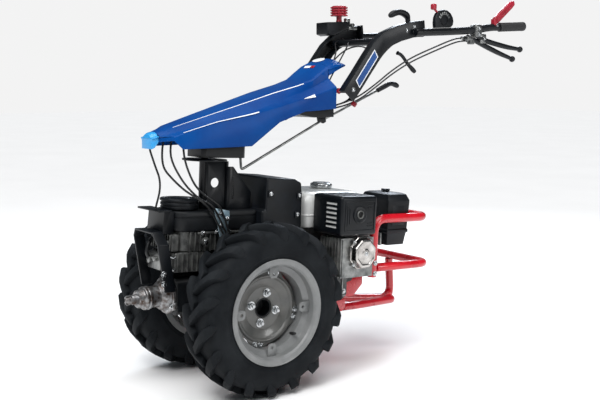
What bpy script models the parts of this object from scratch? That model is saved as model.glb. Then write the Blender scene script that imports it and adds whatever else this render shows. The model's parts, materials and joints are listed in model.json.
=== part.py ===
"""Walking tractor: two driven wheels, engine block at the rear, power take-off in front, turning
steering column with a long cover, and reversible handlebar.  Metres, +Z up, machine front faces -Y."""
import bpy
import bmesh
import math
from mathutils import Matrix, Vector

for old in list(bpy.data.objects):
    bpy.data.objects.remove(old, do_unlink=True)

# ---------------------------------------------------------------- driving sizes
WHEEL_R = 0.285            # tyre outer radius, and axle height
HALF_TRACK = 0.220         # wheel centre plane from the machine's centre plane
TYRE_HALF_W = 0.0725       # tyre section half width
DISC_X = 0.207             # wheel disc's outer face at its centre
BODY_PITCH = math.radians(-3.0)   # whole body leans back about the axle
GRIP_Y = 1.130             # middle of the grips, behind the axle
GRIP_Z = 1.225             # middle of the grips, above the ground
SWIVEL_Y = -0.112          # turning axis of the column, in the body frame
SWIVEL_Z = 0.800           # bearing face of the column, in the body frame
PIVOT_Y = 0.416            # handlebar height pivot, ground frame
PIVOT_Z = 0.985
ROD_X = 0.030              # shift rod, out from the centre plane
ARM_X = 0.140              # arm plates, out from the centre plane
PTO_Z = 0.3250             # power take-off axis, level, ground frame
PTO_SHAFT_R = 0.016
SHAFT_R = 0.022            # wheel shaft radius in the axle housing
COVER_WALL = 0.004
GUARD_R = 0.0160           # engine guard tube radius
TUBE_R = 0.014             # handlebar tube radius
CABLE_R = 0.0035

GAP = 0.0003               # between pieces that touch
RUN = 0.00015              # radial clearance of a shaft in its bore
MOVE = 0.006               # between pieces that move past each other
SEG = 32
SEG_WHEEL = 36

HOLD = Vector((0.0, GRIP_Y, GRIP_Z))

# ---------------------------------------------------------------- frames
def empty(name, location, rotation=(0.0, 0.0, 0.0), parent=None):
    e = bpy.data.objects.new(name, None)
    bpy.context.collection.objects.link(e)
    e.location = location
    e.rotation_euler = rotation
    e.parent = parent
    e.hide_render = True
    return e


tilt = Matrix.Rotation(BODY_PITCH, 3, 'X')
ground_empty = empty("ground_frame", -HOLD)
body_empty = empty("body_frame", Vector((0, 0, WHEEL_R)) + tilt @ Vector((0, 0, -WHEEL_R)),
                   (BODY_PITCH, 0.0, 0.0), ground_empty)


def body_to_ground(p):
    return Vector((0, 0, WHEEL_R)) + tilt @ (Vector(p) - Vector((0, 0, WHEEL_R)))


swivel_at = body_to_ground((0, SWIVEL_Y, SWIVEL_Z))
FRAMES = {
    "ground": (ground_empty, Vector((0, 0, 0))),
    "body": (body_empty, Vector((0, 0, 0))),
}


def add_frame(name, base, at):
    parent, offset = FRAMES[base]
    e = empty(name + "_axis", Vector(at) - offset, (0, 0, 0), parent)
    FRAMES[name] = (e, Vector(at))


add_frame("swivel", "ground", swivel_at)
add_frame("bar", "ground", (0, PIVOT_Y, PIVOT_Z))
add_frame("wheel_l", "ground", (HALF_TRACK, 0, WHEEL_R))
add_frame("wheel_r", "ground", (-HALF_TRACK, 0, WHEEL_R))
add_frame("pto", "ground", (0, -0.30, PTO_Z))

# ---------------------------------------------------------------- materials
LOOKS = {
    "tyre": ((0.018, 0.019, 0.022), 0.85, 0.0),
    "rim_paint": ((0.29, 0.28, 0.26), 0.45, 0.0),
    "disc_paint": ((0.12, 0.12, 0.105), 0.45, 0.0),
    "black_paint": ((0.012, 0.014, 0.017), 0.40, 0.0),
    "cast_black": ((0.015, 0.016, 0.018), 0.60, 0.0),
    "cast_grey": ((0.10, 0.10, 0.10), 0.60, 0.5),
    "steel": ((0.45, 0.45, 0.45), 0.35, 1.0),
    "blue_cover": ((0.0, 0.058, 0.28), 0.30, 0.0),
    "sky_cover": ((0.045, 0.38, 0.79), 0.30, 0.0),
    "red_paint": ((0.58, 0.0, 0.01), 0.30, 0.0),
    "red_plastic": ((0.40, 0.02, 0.04), 0.40, 0.0),
    "white_tank": ((0.70, 0.70, 0.68), 0.35, 0.0),
    "aluminium": ((0.50, 0.50, 0.49), 0.40, 1.0),
    "black_plastic": ((0.018, 0.019, 0.021), 0.50, 0.0),
    "rubber": ((0.015, 0.015, 0.016), 0.80, 0.0),
    "blue_steel": ((0.22, 0.32, 0.38), 0.40, 0.6),
    "arm_paint": ((0.013, 0.016, 0.020), 0.40, 0.0),
}
materials = {}
for key, (colour, rough, metal) in LOOKS.items():
    mat = bpy.data.materials.new(key)
    mat.use_nodes = True
    shader = mat.node_tree.nodes["Principled BSDF"]
    shader.inputs["Base Color"].default_value = (*colour, 1.0)
    shader.inputs["Roughness"].default_value = rough
    shader.inputs["Metallic"].default_value = metal
    materials[key] = mat


# ---------------------------------------------------------------- shape helpers


def place(a, b, h, axis):
    """Point with in-plane coordinates a, b and height h along the axis."""
    if axis == "X":
        return Vector((h, a, b))
    if axis == "Y":
        return Vector((a, h, b))
    return Vector((a, b, h))


def prism(poly, axis, h0, h1):
    """Polygon (a, b) swept along an axis: X uses (y, z), Y uses (x, z), Z uses (x, y)."""
    n = len(poly)
    verts = [place(a, b, h0, axis) for a, b in poly] + [place(a, b, h1, axis) for a, b in poly]
    faces = [tuple(range(n)), tuple(range(2 * n - 1, n - 1, -1))]
    faces += [(i, (i + 1) % n, n + (i + 1) % n, n + i) for i in range(n)]
    return verts, faces


def box(x0, x1, y0, y1, z0, z1):
    return prism([(x0, y0), (x1, y0), (x1, y1), (x0, y1)], "Z", z0, z1)


def chamfer_box(x0, x1, y0, y1, z0, z1, c, axis="Z"):
    """Box with the four edges along one axis cut back by c."""
    if axis == "Z":
        a0, a1, b0, b1, h0, h1 = x0, x1, y0, y1, z0, z1
    elif axis == "X":
        a0, a1, b0, b1, h0, h1 = y0, y1, z0, z1, x0, x1
    else:
        a0, a1, b0, b1, h0, h1 = x0, x1, z0, z1, y0, y1
    poly = [(a0 + c, b0), (a1 - c, b0), (a1, b0 + c), (a1, b1 - c),
            (a1 - c, b1), (a0 + c, b1), (a0, b1 - c), (a0, b0 + c)]
    return prism(poly, axis, h0, h1)


def turned(profile, axis, centre, seg=SEG, closed=False):
    """Revolve (h, r) points round an axis through centre.  closed makes a ring."""
    ca, cb = centre
    verts = []
    rows = []
    for h, r in profile:
        if r < 1e-6:
            rows.append([len(verts)])
            verts.append(place(ca, cb, h, axis))
        else:
            rows.append(list(range(len(verts), len(verts) + seg)))
            for k in range(seg):
                t = 2 * math.pi * k / seg
                verts.append(place(ca + r * math.cos(t), cb + r * math.sin(t), h, axis))
    faces = []
    pairs = list(zip(rows, rows[1:]))
    if closed:
        pairs.append((rows[-1], rows[0]))
    for ra, rb in pairs:
        for k in range(seg):
            k2 = (k + 1) % seg
            if len(ra) == 1 and len(rb) > 1:
                faces.append((ra[0], rb[k2], rb[k]))
            elif len(rb) == 1 and len(ra) > 1:
                faces.append((ra[k], ra[k2], rb[0]))
            elif len(ra) > 1:
                faces.append((ra[k], ra[k2], rb[k2], rb[k]))
    if not closed:
        for row, flip in ((rows[0], False), (rows[-1], True)):
            if len(row) > 1:
                faces.append(tuple(reversed(row)) if flip else tuple(row))
    return verts, faces


def rounded(points, radius, steps=4):
    """Polyline with each inner corner turned into an arc."""
    pts = [Vector(p) for p in points]
    out = [pts[0]]
    for a, b, c in zip(pts, pts[1:], pts[2:]):
        u = (a - b).normalized()
        v = (c - b).normalized()
        angle = u.angle(v)
        if abs(math.pi - angle) < 0.02:
            out.append(b)
            continue
        cut = min(radius / math.tan(angle / 2), (a - b).length * 0.45, (c - b).length * 0.45)
        r = cut * math.tan(angle / 2)
        mid = (u + v).normalized()
        centre = b + mid * (r / math.sin(angle / 2))
        p0 = b + u * cut - centre
        turn = math.pi - angle
        axis = u.cross(v)
        for k in range(steps + 1):
            out.append(centre + Matrix.Rotation(-turn * k / steps, 3, axis) @ p0)
    out.append(pts[-1])
    return out


def pipe(points, r, seg=12, bend=0.0, steps=4, oval=1.0):
    """Round bar or tube body along a route, flat ends."""
    pts = rounded(points, bend, steps) if bend > 0 else [Vector(p) for p in points]
    dirs = []
    for i, p in enumerate(pts):
        if i == 0:
            d = pts[1] - p
        elif i == len(pts) - 1:
            d = p - pts[i - 1]
        else:
            d = (pts[i + 1] - p).normalized() + (p - pts[i - 1]).normalized()
        dirs.append(d.normalized())
    ref = Vector((0, 0, 1)) if abs(dirs[0].z) < 0.9 else Vector((0, 1, 0))
    side = dirs[0].cross(ref).normalized()
    verts = []
    for p, d in zip(pts, dirs):
        side = (side - d * side.dot(d)).normalized()
        up = side.cross(d).normalized()
        for k in range(seg):
            t = 2 * math.pi * k / seg
            verts.append(p + side * (r * math.cos(t)) + up * (r * oval * math.sin(t)))
    n = len(pts)
    faces = [tuple(range(seg))]
    for i in range(n - 1):
        for k in range(seg):
            k2 = (k + 1) % seg
            faces.append((i * seg + k, (i + 1) * seg + k, (i + 1) * seg + k2, i * seg + k2))
    faces.append(tuple(reversed(range((n - 1) * seg, n * seg))))
    return verts, faces


def loft(loops):
    """Closed body through loops of the same point count, with flat ends."""
    n = len(loops[0])
    verts = [Vector(p) for loop in loops for p in loop]
    faces = [tuple(reversed(range(n)))]
    for i in range(len(loops) - 1):
        for k in range(n):
            k2 = (k + 1) % n
            faces.append((i * n + k, i * n + k2, (i + 1) * n + k2, (i + 1) * n + k))
    faces.append(tuple(range((len(loops) - 1) * n, len(loops) * n)))
    return verts, faces


def solid(name, shape, frame, slot, smooth=False):
    verts, faces = shape
    holder, offset = FRAMES[frame]
    mesh = bpy.data.meshes.new(name)
    mesh.from_pydata([v - offset for v in verts], [], faces)
    bm = bmesh.new()
    bm.from_mesh(mesh)
    bmesh.ops.recalc_face_normals(bm, faces=bm.faces)
    if bm.calc_volume(signed=True) < 0:
        bmesh.ops.reverse_faces(bm, faces=bm.faces)
    for face in bm.faces:
        face.smooth = smooth
    if smooth:
        for edge in bm.edges:
            if len(edge.link_faces) == 2 and edge.calc_face_angle(0.0) > math.radians(32):
                edge.smooth = False
    bm.to_mesh(mesh)
    bm.free()
    mesh.materials.append(materials[slot])
    obj = bpy.data.objects.new(name, mesh)
    bpy.context.collection.objects.link(obj)
    obj.parent = holder
    return obj


def boolean(target, cutter, operation):
    cutter.hide_render = True
    cutter.display_type = 'WIRE'
    mod = target.modifiers.new(cutter.name, 'BOOLEAN')
    mod.operation = operation
    mod.solver = 'EXACT'
    mod.object = cutter


def cut(target, name, shape, frame):
    boolean(target, solid("cut_" + name, shape, frame, "steel"), 'DIFFERENCE')


def weld(target, name, shape, frame):
    boolean(target, solid("weld_" + name, shape, frame, "steel"), 'UNION')


# ---------------------------------------------------------------- wheels
RIM_PROFILE = [(-0.071, 0.174), (-0.067, 0.174), (-0.066, 0.158), (-0.060, 0.1525), (-0.036, 0.1515),
               (-0.028, 0.132), (0.028, 0.132), (0.036, 0.1515), (0.060, 0.1525), (0.066, 0.158),
               (0.067, 0.174), (0.071, 0.174), (0.0695, 0.156), (0.061, 0.1492), (0.038, 0.1483),
               (0.030, 0.1288), (-0.030, 0.1288), (-0.038, 0.1483), (-0.061, 0.1492), (-0.0695, 0.156)]
TYRE_SIDE = [(0.0450, 0.1530), (0.0585, 0.1533), (0.0652, 0.1595), (0.0664, 0.1750), (0.0700, 0.1880),
             (TYRE_HALF_W, 0.2080), (0.0715, 0.2350), (0.0665, 0.2600), (0.0590, 0.2760), (0.0300, WHEEL_R - 0.002)]
TYRE_INNER = [(0.0300, 0.2690), (0.0500, 0.2640), (0.0600, 0.2480), (0.0640, 0.2150), (0.0600, 0.1850),
              (0.0500, 0.1680), (0.0430, 0.1600)]
for side, frame in ((1, "wheel_l"), (-1, "wheel_r")):
    tag = "left" if side > 0 else "right"
    wheel_x = side * HALF_TRACK
    centre = (0.0, WHEEL_R)
    loop = TYRE_SIDE + [(0.0, WHEEL_R)] + [(-x, r) for x, r in reversed(TYRE_SIDE)]
    loop += [(-x, r) for x, r in reversed(TYRE_INNER)] + [(0.0, 0.2705)] + TYRE_INNER
    solid("tyre_" + tag, turned([(wheel_x + x, r) for x, r in loop], "X", centre, SEG_WHEEL, True),
          frame, "tyre", True)
    solid("rim_" + tag, turned([(wheel_x + x, r) for x, r in RIM_PROFILE], "X", centre, SEG_WHEEL, True),
          frame, "rim_paint", True)
    dx = side * DISC_X
    disc = [(dx, 0.0325), (dx, 0.076), (dx + side * 0.012, 0.104), (dx + side * 0.012, 0.1284),
            (dx + side * 0.007, 0.1284), (dx + side * 0.007, 0.106), (dx - side * 0.005, 0.078),
            (dx - side * 0.005, 0.0325)]
    wheel_disc = solid("wheel_disc_" + tag, turned(disc, "X", centre, SEG_WHEEL, True), frame, "disc_paint", True)
    for k in range(4):
        t = math.radians(45 + 90 * k)
        hub_y = 0.050 * math.cos(t)
        hub_z = WHEEL_R + 0.050 * math.sin(t)
        hole = turned([(dx - side * 0.02, 0.0065), (dx + side * 0.02, 0.0065)], "X", (hub_y, hub_z), 12)
        cut(wheel_disc, f"stud_{tag}_{k}", hole, frame)
    hub = [(side * 0.1200, 0.0), (side * 0.1200, SHAFT_R), (side * 0.1565, SHAFT_R),
           (side * 0.1565, 0.042), (side * 0.188, 0.042), (side * 0.188, 0.068),
           (dx - side * (0.005 + GAP), 0.068), (dx - side * (0.005 + GAP), 0.031), (dx - side * 0.001, 0.031),
           (dx - side * 0.001, 0.024), (side * 0.185, 0.022), (side * 0.185, 0.0)]
    wheel_hub = solid("wheel_hub_" + tag, turned(hub, "X", centre, SEG), frame, "cast_black", True)
    for k in range(4):
        t = math.radians(45 + 90 * k)
        hub_y = 0.050 * math.cos(t)
        hub_z = WHEEL_R + 0.050 * math.sin(t)
        stud = turned([(side * 0.190, 0.0060), (dx + side * 0.012, 0.0060)], "X", (hub_y, hub_z), 12)
        weld(wheel_hub, f"hub_stud_{tag}_{k}", stud, frame)

# ---------------------------------------------------------------- transmission
GEAR_X = 0.085
gearbox_side = [(-0.125, 0.235), (-0.095, 0.195), (0.090, 0.195), (0.125, 0.235), (0.125, 0.420),
                (0.095, 0.455), (-0.095, 0.455), (-0.125, 0.420)]
gearbox = solid("gearbox", prism(gearbox_side, "X", -GEAR_X, GEAR_X), "body", "cast_black")
for side, tag in ((1, "left"), (-1, "right")):
    housing = [(side * 0.080, 0.0), (side * 0.080, 0.068), (side * 0.096, 0.068),
               (side * 0.102, 0.055), (side * 0.1505, 0.047), (side * 0.1505, 0.0)]
    weld(gearbox, "axle_housing_" + tag, turned(housing, "X", (0.0, WHEEL_R), SEG), "body")
    bore = [(side * 0.118, 0.0), (side * 0.118, SHAFT_R + RUN),
            (side * 0.170, SHAFT_R + RUN), (side * 0.170, 0.0)]
    cut(gearbox, "axle_bore_" + tag, turned(bore, "X", (0.0, WHEEL_R), SEG), "body")
clutch_side = [(-0.2547, 0.395), (-0.125 - GAP, 0.395), (-0.125 - GAP, 0.4597), (-0.2547, 0.4597)]
solid("ribbed_casting", prism(clutch_side, "X", -0.070, 0.070), "body", "cast_grey")
weld(gearbox, "pto_gearcase", chamfer_box(-0.060, 0.060, -0.235, -0.100, 0.262, 0.385, 0.014, "Y"), "ground")
flange_back = -0.235 - GAP
pto_profile = [(flange_back, 0.0), (flange_back, 0.062), (-0.249, 0.062), (-0.252, 0.050),
               (-0.268, 0.048), (-0.275, 0.037), (-0.306, 0.034), (-0.310, 0.038), (-0.326, 0.037),
               (-0.330, 0.030), (-0.347, 0.028), (-0.350, 0.025),
               (-0.350, PTO_SHAFT_R + RUN), (-0.290, PTO_SHAFT_R + RUN), (-0.290, 0.0)]
pto_housing = solid("pto_housing", turned(pto_profile, "Y", (0.0, PTO_Z), 28), "ground", "steel", True)
shaft_profile = [(-0.2925, 0.0), (-0.2925, PTO_SHAFT_R), (-0.383, PTO_SHAFT_R), (-0.386, 0.013),
                 (-0.386, 0.0)]
pto_shaft = solid("pto_shaft", turned(shaft_profile, "Y", (0.0, PTO_Z), 28), "pto", "steel", True)
for k in range(3):
    t = math.radians(90 + 120 * k)
    jaw = box(-0.006, 0.006, -0.40, -0.368, 0.007, 0.03)
    jaw = ([Matrix.Rotation(-t, 3, 'Y') @ v + Vector((0, 0, PTO_Z)) for v in jaw[0]], jaw[1])
    cut(pto_shaft, f"jaw_{k}", jaw, "pto")
GUARD_LEAN = 0.20
outer = [(-0.066, 0.340), (0.094, 0.340), (0.094, 0.492), (0.066, 0.530), (-0.048, 0.530), (-0.066, 0.505)]
inner = [(-0.060, 0.32), (0.088, 0.32), (0.088, 0.490), (0.063, 0.524), (-0.045, 0.524), (-0.060, 0.503)]


def leaning(shape):
    verts, faces = shape
    return [Vector((v.x, v.y + (0.530 - v.z) * GUARD_LEAN, v.z)) for v in verts], faces


pto_guard = solid("pto_guard", leaning(prism(outer, "Y", -0.338, -0.300)), "body", "black_paint")
cut(pto_guard, "guard_inside", leaning(prism(inner, "Y", -0.36, -0.28)), "body")
weld(pto_guard, "guard_arm", box(-0.030, 0.040, -0.306, -0.296 - GAP, 0.5215, 0.5300), "body")
front_side = [(-0.2958, 0.520), (-0.255, 0.520), (-0.255, 0.5915), (-0.268, 0.5915), (-0.268, 0.5960),
              (-0.2900, 0.5960)]
front_block = solid("front_bracket", prism(front_side, "X", -0.045, 0.058), "body", "cast_grey")
weld(front_block, "front_plate", box(-0.070, 0.070, -0.318, -0.2700, 0.5920, 0.598), "body")
hydro_side = [(-0.2547, 0.460), (0.045, 0.460), (0.045, 0.570), (0.025, 0.592), (-0.080, 0.592),
              (-0.2547, 0.592)]
solid("hydro_unit", prism(hydro_side, "X", -0.085, 0.085), "body", "cast_black")
drum_profile = [(0.5923, 0.0), (0.5923, 0.058), (0.597, 0.063), (0.615, 0.063), (0.617, 0.060),
                (0.6205, 0.060), (0.622, 0.065), (0.627, 0.065), (0.631, 0.062), (0.634, 0.056), (0.634, 0.0)]
solid("filter_drum", turned(drum_profile, "Z", (0.0, -0.2030), 36), "body", "black_plastic", True)

# ---------------------------------------------------------------- column
COL_Z0 = 0.592 + GAP
COL_Z1 = 0.752
column_side = [(-0.120, COL_Z0), (-0.039, COL_Z0), (-0.039, COL_Z1 - 0.0013), (-0.120, COL_Z1 - 0.0013)]
plate = solid("column_plate", prism(column_side, "X", 0.028, 0.034), "body", "black_paint")
cut(plate, "plate_hole", turned([(0.02, 0.016), (0.04, 0.016)], "X", (-0.090, 0.680), 24), "body")
weld(plate, "plate_rib_front", box(0.0185, 0.032, -0.120, -0.115, COL_Z0, COL_Z1 - 0.0013), "body")
weld(plate, "plate_rib_back", box(0.030, 0.0440, -0.053, -0.047, COL_Z0, COL_Z1 - 0.0013), "body")
turn_z = COL_Z1 + 0.005 + MOVE
PIN_R = 0.012
column = solid("column_tube", turned([(COL_Z0, 0.0), (COL_Z0, 0.0175), (COL_Z1, 0.0175), (COL_Z1, PIN_R),
                             (0.806, PIN_R), (0.806, 0.0)], "Z",
                            (0.0, SWIVEL_Y), 28), "body", "black_paint", True)
gusset = [(-0.053, COL_Z0), (0.044, COL_Z0), (0.044, 0.648), (-0.030, 0.734), (-0.053, 0.734)]
gusset_plate = solid("column_gusset", prism(gusset, "X", 0.044 + GAP, 0.050), "body", "black_paint")
cut(gusset_plate, "gusset_slot", box(0.03, 0.06, -0.034, -0.027, 0.625, 0.700), "body")
ring = [(COL_Z1 - 0.001, 0.0), (COL_Z1 - 0.001, 0.075), (COL_Z1 + 0.005, 0.075), (COL_Z1 + 0.005, 0.0)]
weld(column, "column_ring", turned(ring, "Z", (0.0, SWIVEL_Y), 28), "body")
bracket_side = [(-0.126, 0.603), (-0.066, 0.592), (-0.064, 0.575), (-0.082, 0.480), (-0.092, 0.480)]
solid("steel_bracket", prism(bracket_side, "X", 0.0853, 0.0893), "body", "blue_steel")

# ---------------------------------------------------------------- gear cover and engine mount
cover_side = [(0.0455, 0.460), (0.213, 0.456), (0.213, 0.640), (0.208, 0.683), (0.180, 0.696),
              (0.0615, 0.702), (0.0605, 0.5915), (0.0455, 0.5915)]
solid("belt_cover", prism(cover_side, "X", -0.115, 0.118), "body", "black_plastic")
mount_side = [(0.125 + GAP, 0.230), (0.300, 0.205), (0.440, 0.205), (0.4557, 0.215), (0.4557, 0.252),
              (0.200, 0.252), (0.200, 0.4557), (0.125 + GAP, 0.4557)]
solid("engine_mount", prism(mount_side, "X", -0.090, 0.090), "body", "red_paint")

# ---------------------------------------------------------------- engine
engine = solid("engine_block", chamfer_box(-0.120, 0.110, 0.2133, 0.440, 0.2523, 0.4700, 0.02, "Y"), "body",
      "aluminium")
head_side = [(0.300, 0.360), (0.450, 0.360), (0.450, 0.5000), (0.300, 0.5000)]
engine_head = solid("cylinder_head", prism(head_side, "X", 0.110 + GAP, 0.235), "body", "aluminium")
octo = []
for k in range(8):
    t = math.radians(22.5 + 45 * k)
    octo.append((0.386 + 0.056 * math.cos(t), 0.447 + 0.060 * math.sin(t)))
solid("head_cover", prism(octo, "X", 0.235 + GAP, 0.268), "body", "aluminium")
muffler = solid("muffler_guard", chamfer_box(0.105, 0.262, 0.2700, 0.4330, 0.5103, 0.6470, 0.012, "X"), "body",
      "black_paint")
weld(muffler, "exhaust_pipe", turned([(0.5003, 0.0), (0.5003, 0.018), (0.5150, 0.018), (0.5150, 0.0)], "Z",
                                     (0.150, 0.36), 16), "body")
TANK_X1 = 0.100
def tank_layer(z, inset_x0, inset_x1, y0, y1):
    """Outline of the tank at one height; the right edge follows the muffler's side."""
    x0, x1 = -0.180 + inset_x0, TANK_X1 + 0.003 - inset_x1
    return [(x0, y0, z), (x1, y0, z), (x1, y1, z), (x0, y1, z)]


tank = [tank_layer(0.5203, 0.005, 0.003, 0.245, 0.515), tank_layer(0.545, 0.0, 0.0, 0.235, 0.520),
        tank_layer(0.628, 0.0, 0.0, 0.235, 0.520), tank_layer(0.646, 0.018, 0.018, 0.258, 0.500)]
solid("fuel_tank", loft(tank), "body", "white_tank")
weld(engine, "tank_saddle", box(-0.110, 0.050, 0.270, 0.4390, 0.4650, 0.5200), "body")
cap = [(0.6463, 0.0), (0.6463, 0.034), (0.653, 0.041), (0.664, 0.041), (0.669, 0.034), (0.669, 0.0)]
solid("tank_cap", turned(cap, "Z", (-0.050, 0.430), 24), "body", "steel", True)
starter = [(0.4403, 0.0), (0.4403, 0.112), (0.485, 0.108), (0.500, 0.085), (0.505, 0.0)]
solid("recoil_starter", turned(starter, "Y", (-0.005, 0.366), 36), "body", "black_paint", True)
solid("air_cleaner", chamfer_box(0.040, 0.192, 0.5500, 0.6560, 0.455, 0.647, 0.016, "Z"), "body",
      "black_plastic")
weld(engine_head, "carburettor", box(0.110, 0.165, 0.4400, 0.5497, 0.456, 0.499), "body")

# ---------------------------------------------------------------- engine guard
HOOP_X = 0.213
POST_Y = 0.466
BAR_Z = 0.384
upper = [(HOOP_X, POST_Y, 0.352), (HOOP_X, POST_Y, 0.5590), (HOOP_X, 0.7280, 0.5590),
         (-HOOP_X, 0.7280, 0.5590), (-HOOP_X, POST_Y, 0.5590), (-HOOP_X, POST_Y, 0.352)]
solid("guard_upper_hoop", pipe(upper, GUARD_R, 12, 0.055, 5), "body", "red_paint", True)
lower_r = GUARD_R * 0.95
bar_y = POST_Y + GUARD_R + GAP + 0.0005
lower = [(HOOP_X, bar_y, BAR_Z), (HOOP_X, 0.745, BAR_Z), (-HOOP_X, 0.745, BAR_Z), (-HOOP_X, bar_y, BAR_Z)]
solid("guard_lower_hoop", pipe(lower, lower_r, 12, 0.055, 5), "body", "red_paint", True)
SKID_X = 0.075
SKID_BEND = 0.024          # centre line radius of the hairpin at the skid's rear end
SKID_REAR = 0.762
lean = math.atan2(SKID_X - SKID_BEND, SKID_REAR - SKID_BEND - 0.506)
skid = [(SKID_X, 0.4560, 0.2180), (SKID_X, 0.5060, 0.2180)]
for k in range(9):
    t = lean + (math.pi - 2 * lean) * k / 8
    skid.append((SKID_BEND * math.cos(t), SKID_REAR - SKID_BEND + SKID_BEND * math.sin(t), 0.2085))
skid += [(-SKID_X, 0.5060, 0.2180), (-SKID_X, 0.4560, 0.2180)]
guard_skid = solid("guard_skid", pipe(skid, lower_r, 12), "body", "red_paint", True)
strut_top = BAR_Z - lower_r - GAP * 2
strut = pipe([(0.0, SKID_REAR, 0.2085), (0.0, 0.7480, strut_top)], lower_r, 12)
weld(guard_skid, "guard_strut", strut, "body")

# ---------------------------------------------------------------- turning head, beam and cover
def section(y, half_low, z_low, half_mid, z_mid, half_up, z_up, z_top):
    """Cover section: lower edge, side crease, shoulder and ridge."""
    right = [(half_low, z_low), (half_mid, z_mid), (half_up, z_up)]
    pts = right + [(half_up * 0.5, z_up + (z_top - z_up) * 0.85), (0.0, z_top)]
    pts += [(-half_up * 0.5, z_up + (z_top - z_up) * 0.85)]
    pts += [(-a, b) for a, b in reversed(right)]
    return [(a, y, b) for a, b in pts]


COVER = [
    (-0.278, 0.046, 0.826, 0.044, 0.838, 0.030, 0.852, 0.858),
    (-0.250, 0.090, 0.831, 0.088, 0.843, 0.035, 0.862, 0.868),
    (-0.228, 0.104, 0.8045, 0.094, 0.852, 0.040, 0.873, 0.878),
    (-0.100, 0.108, 0.8045, 0.100, 0.885, 0.054, 0.910, 0.913),
    (0.028, 0.110, 0.8045, 0.106, 0.907, 0.063, 0.947, 0.950),
    (0.142, 0.110, 0.880, 0.109, 0.932, 0.068, 0.980, 0.983),
    (0.248, 0.112, 0.914, 0.112, 0.961, 0.073, 1.006, 1.010),
    (0.305, 0.118, 0.917, 0.122, 0.975, 0.076, 1.024, 1.029),
    (0.340, 0.124, 0.920, 0.128, 0.987, 0.078, 1.048, 1.056),
    (0.372, 0.128, 0.922, 0.130, 0.998, 0.080, 1.068, 1.083),
]


def walled(stations, wall):
    loops = []
    for y, a0, z0, a1, z1, a2, z2, zt in stations:
        outer_pts = section(y, a0, z0, a1, z1, a2, z2, zt)
        inner_pts = section(y, a0 - wall, z0, a1 - wall, z1 - wall * 0.3, a2 - wall * 0.8, z2 - wall, zt - wall)
        loops.append(outer_pts + list(reversed(inner_pts)))
    return loops


def shell(loops):
    n = len(loops[0])
    half = n // 2
    verts = [Vector(p) for loop in loops for p in loop]
    faces = []
    for i in range(len(loops) - 1):
        for k in range(n):
            k2 = (k + 1) % n
            faces.append((i * n + k, i * n + k2, (i + 1) * n + k2, (i + 1) * n + k))
    for end in (0, len(loops) - 1):
        b = end * n
        for k in range(half - 1):
            faces.append((b + k, b + k + 1, b + n - 2 - k, b + n - 1 - k))
    return verts, faces


solid("cover", shell(walled(COVER, COVER_WALL)), "swivel", "blue_cover")
y0, a0, z0, a1, z1, a2, z2, zt = COVER[0]
nose_loops = [section(y0 - GAP, a0, z0, a1, z1, a2, z2, zt),
              section(-0.294, 0.0445, 0.808, 0.043, 0.834, 0.029, 0.848, 0.854),
              section(-0.301, 0.040, 0.803, 0.039, 0.830, 0.026, 0.844, 0.850)]
solid("nose_cap", loft(nose_loops), "swivel", "sky_cover")
VISOR = [
    (0.372 + GAP, 0.118, 1.016, 0.106, 1.036, 0.080, 1.0685, 1.083),
    (0.405, 0.099, 1.043, 0.093, 1.054, 0.079, 1.0745, 1.096),
    (0.432, 0.087, 1.060, 0.084, 1.066, 0.077, 1.0765, 1.099),
    (0.456, 0.0765, 1.0715, 0.0755, 1.0740, 0.071, 1.0780, 1.089),
]
solid("cover_visor", shell(walled(VISOR, COVER_WALL)), "swivel", "blue_cover")
TRAY = [(0.072, 0.848), (0.150, 0.893), (0.218, 0.909), (0.245, 0.902), (0.300, 0.8925), (0.386, 0.8925),
        (0.386, 0.925), (0.245, 0.925), (0.150, 0.907), (0.072, 0.862)]
tray = solid("undertray", prism(TRAY, "X", -0.098, 0.098), "swivel", "black_plastic")
weld(tray, "tray_lugs", box(-0.1048, 0.1048, 0.126, 0.142, 0.8840, 0.8940), "swivel")
BEAM = [(-0.120, 0.8395), (0.030, 0.8395), (0.150, 0.9104), (0.245, 0.9265), (0.382, 0.9265),
        (0.430, 0.963), (0.430, 1.002), (0.402, 1.002), (0.369, 0.962), (0.235, 0.962), (0.125, 0.942),
        (0.010, 0.872), (-0.120, 0.872)]
beam = solid("beam", prism(BEAM, "X", -0.024, 0.024), "swivel", "black_paint")
weld(beam, "beam_foot", box(-0.023, 0.023, SWIVEL_Y - 0.034, SWIVEL_Y + 0.036, 0.800, 0.845), "body")
weld(beam, "turntable_head", chamfer_box(-0.055, 0.055, SWIVEL_Y - 0.041, SWIVEL_Y + 0.130, turn_z,
                                           0.811, 0.012, "Z"), "body")
bore = [(turn_z - 0.01, 0.0), (turn_z - 0.01, PIN_R + RUN), (0.8065, PIN_R + RUN), (0.8065, 0.0)]
cut(beam, "head_bore", turned(bore, "Z", (0.0, SWIVEL_Y), 28), "body")
rod = [(ROD_X, 0.0345, 0.7613), (ROD_X, 0.0370, 0.7205), (ROD_X, 0.3880, 0.8790), (ROD_X, 0.6540, 0.9840)]
solid("shift_rod", pipe(rod, 0.0045, 10, 0.010, 3), "swivel", "steel", True)
rod_grip = [(ROD_X, 0.6543, 0.9841), (ROD_X, 0.7150, 1.0100), (ROD_X, 0.7600, 1.0000)]
solid("rod_handle", pipe(rod_grip, 0.0090, 12, 0.02, 3),
      "swivel", "black_plastic", True)

# ---------------------------------------------------------------- handlebar
ARM = [(0.406, 0.966), (0.455, 1.024), (0.507, 1.089), (0.546, 1.136), (0.582, 1.165), (0.636, 1.188),
       (0.690, 1.203), (0.744, 1.210)]
FLARE_Y = 0.588            # arms open outwards behind this point
FLARE = 0.185


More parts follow.
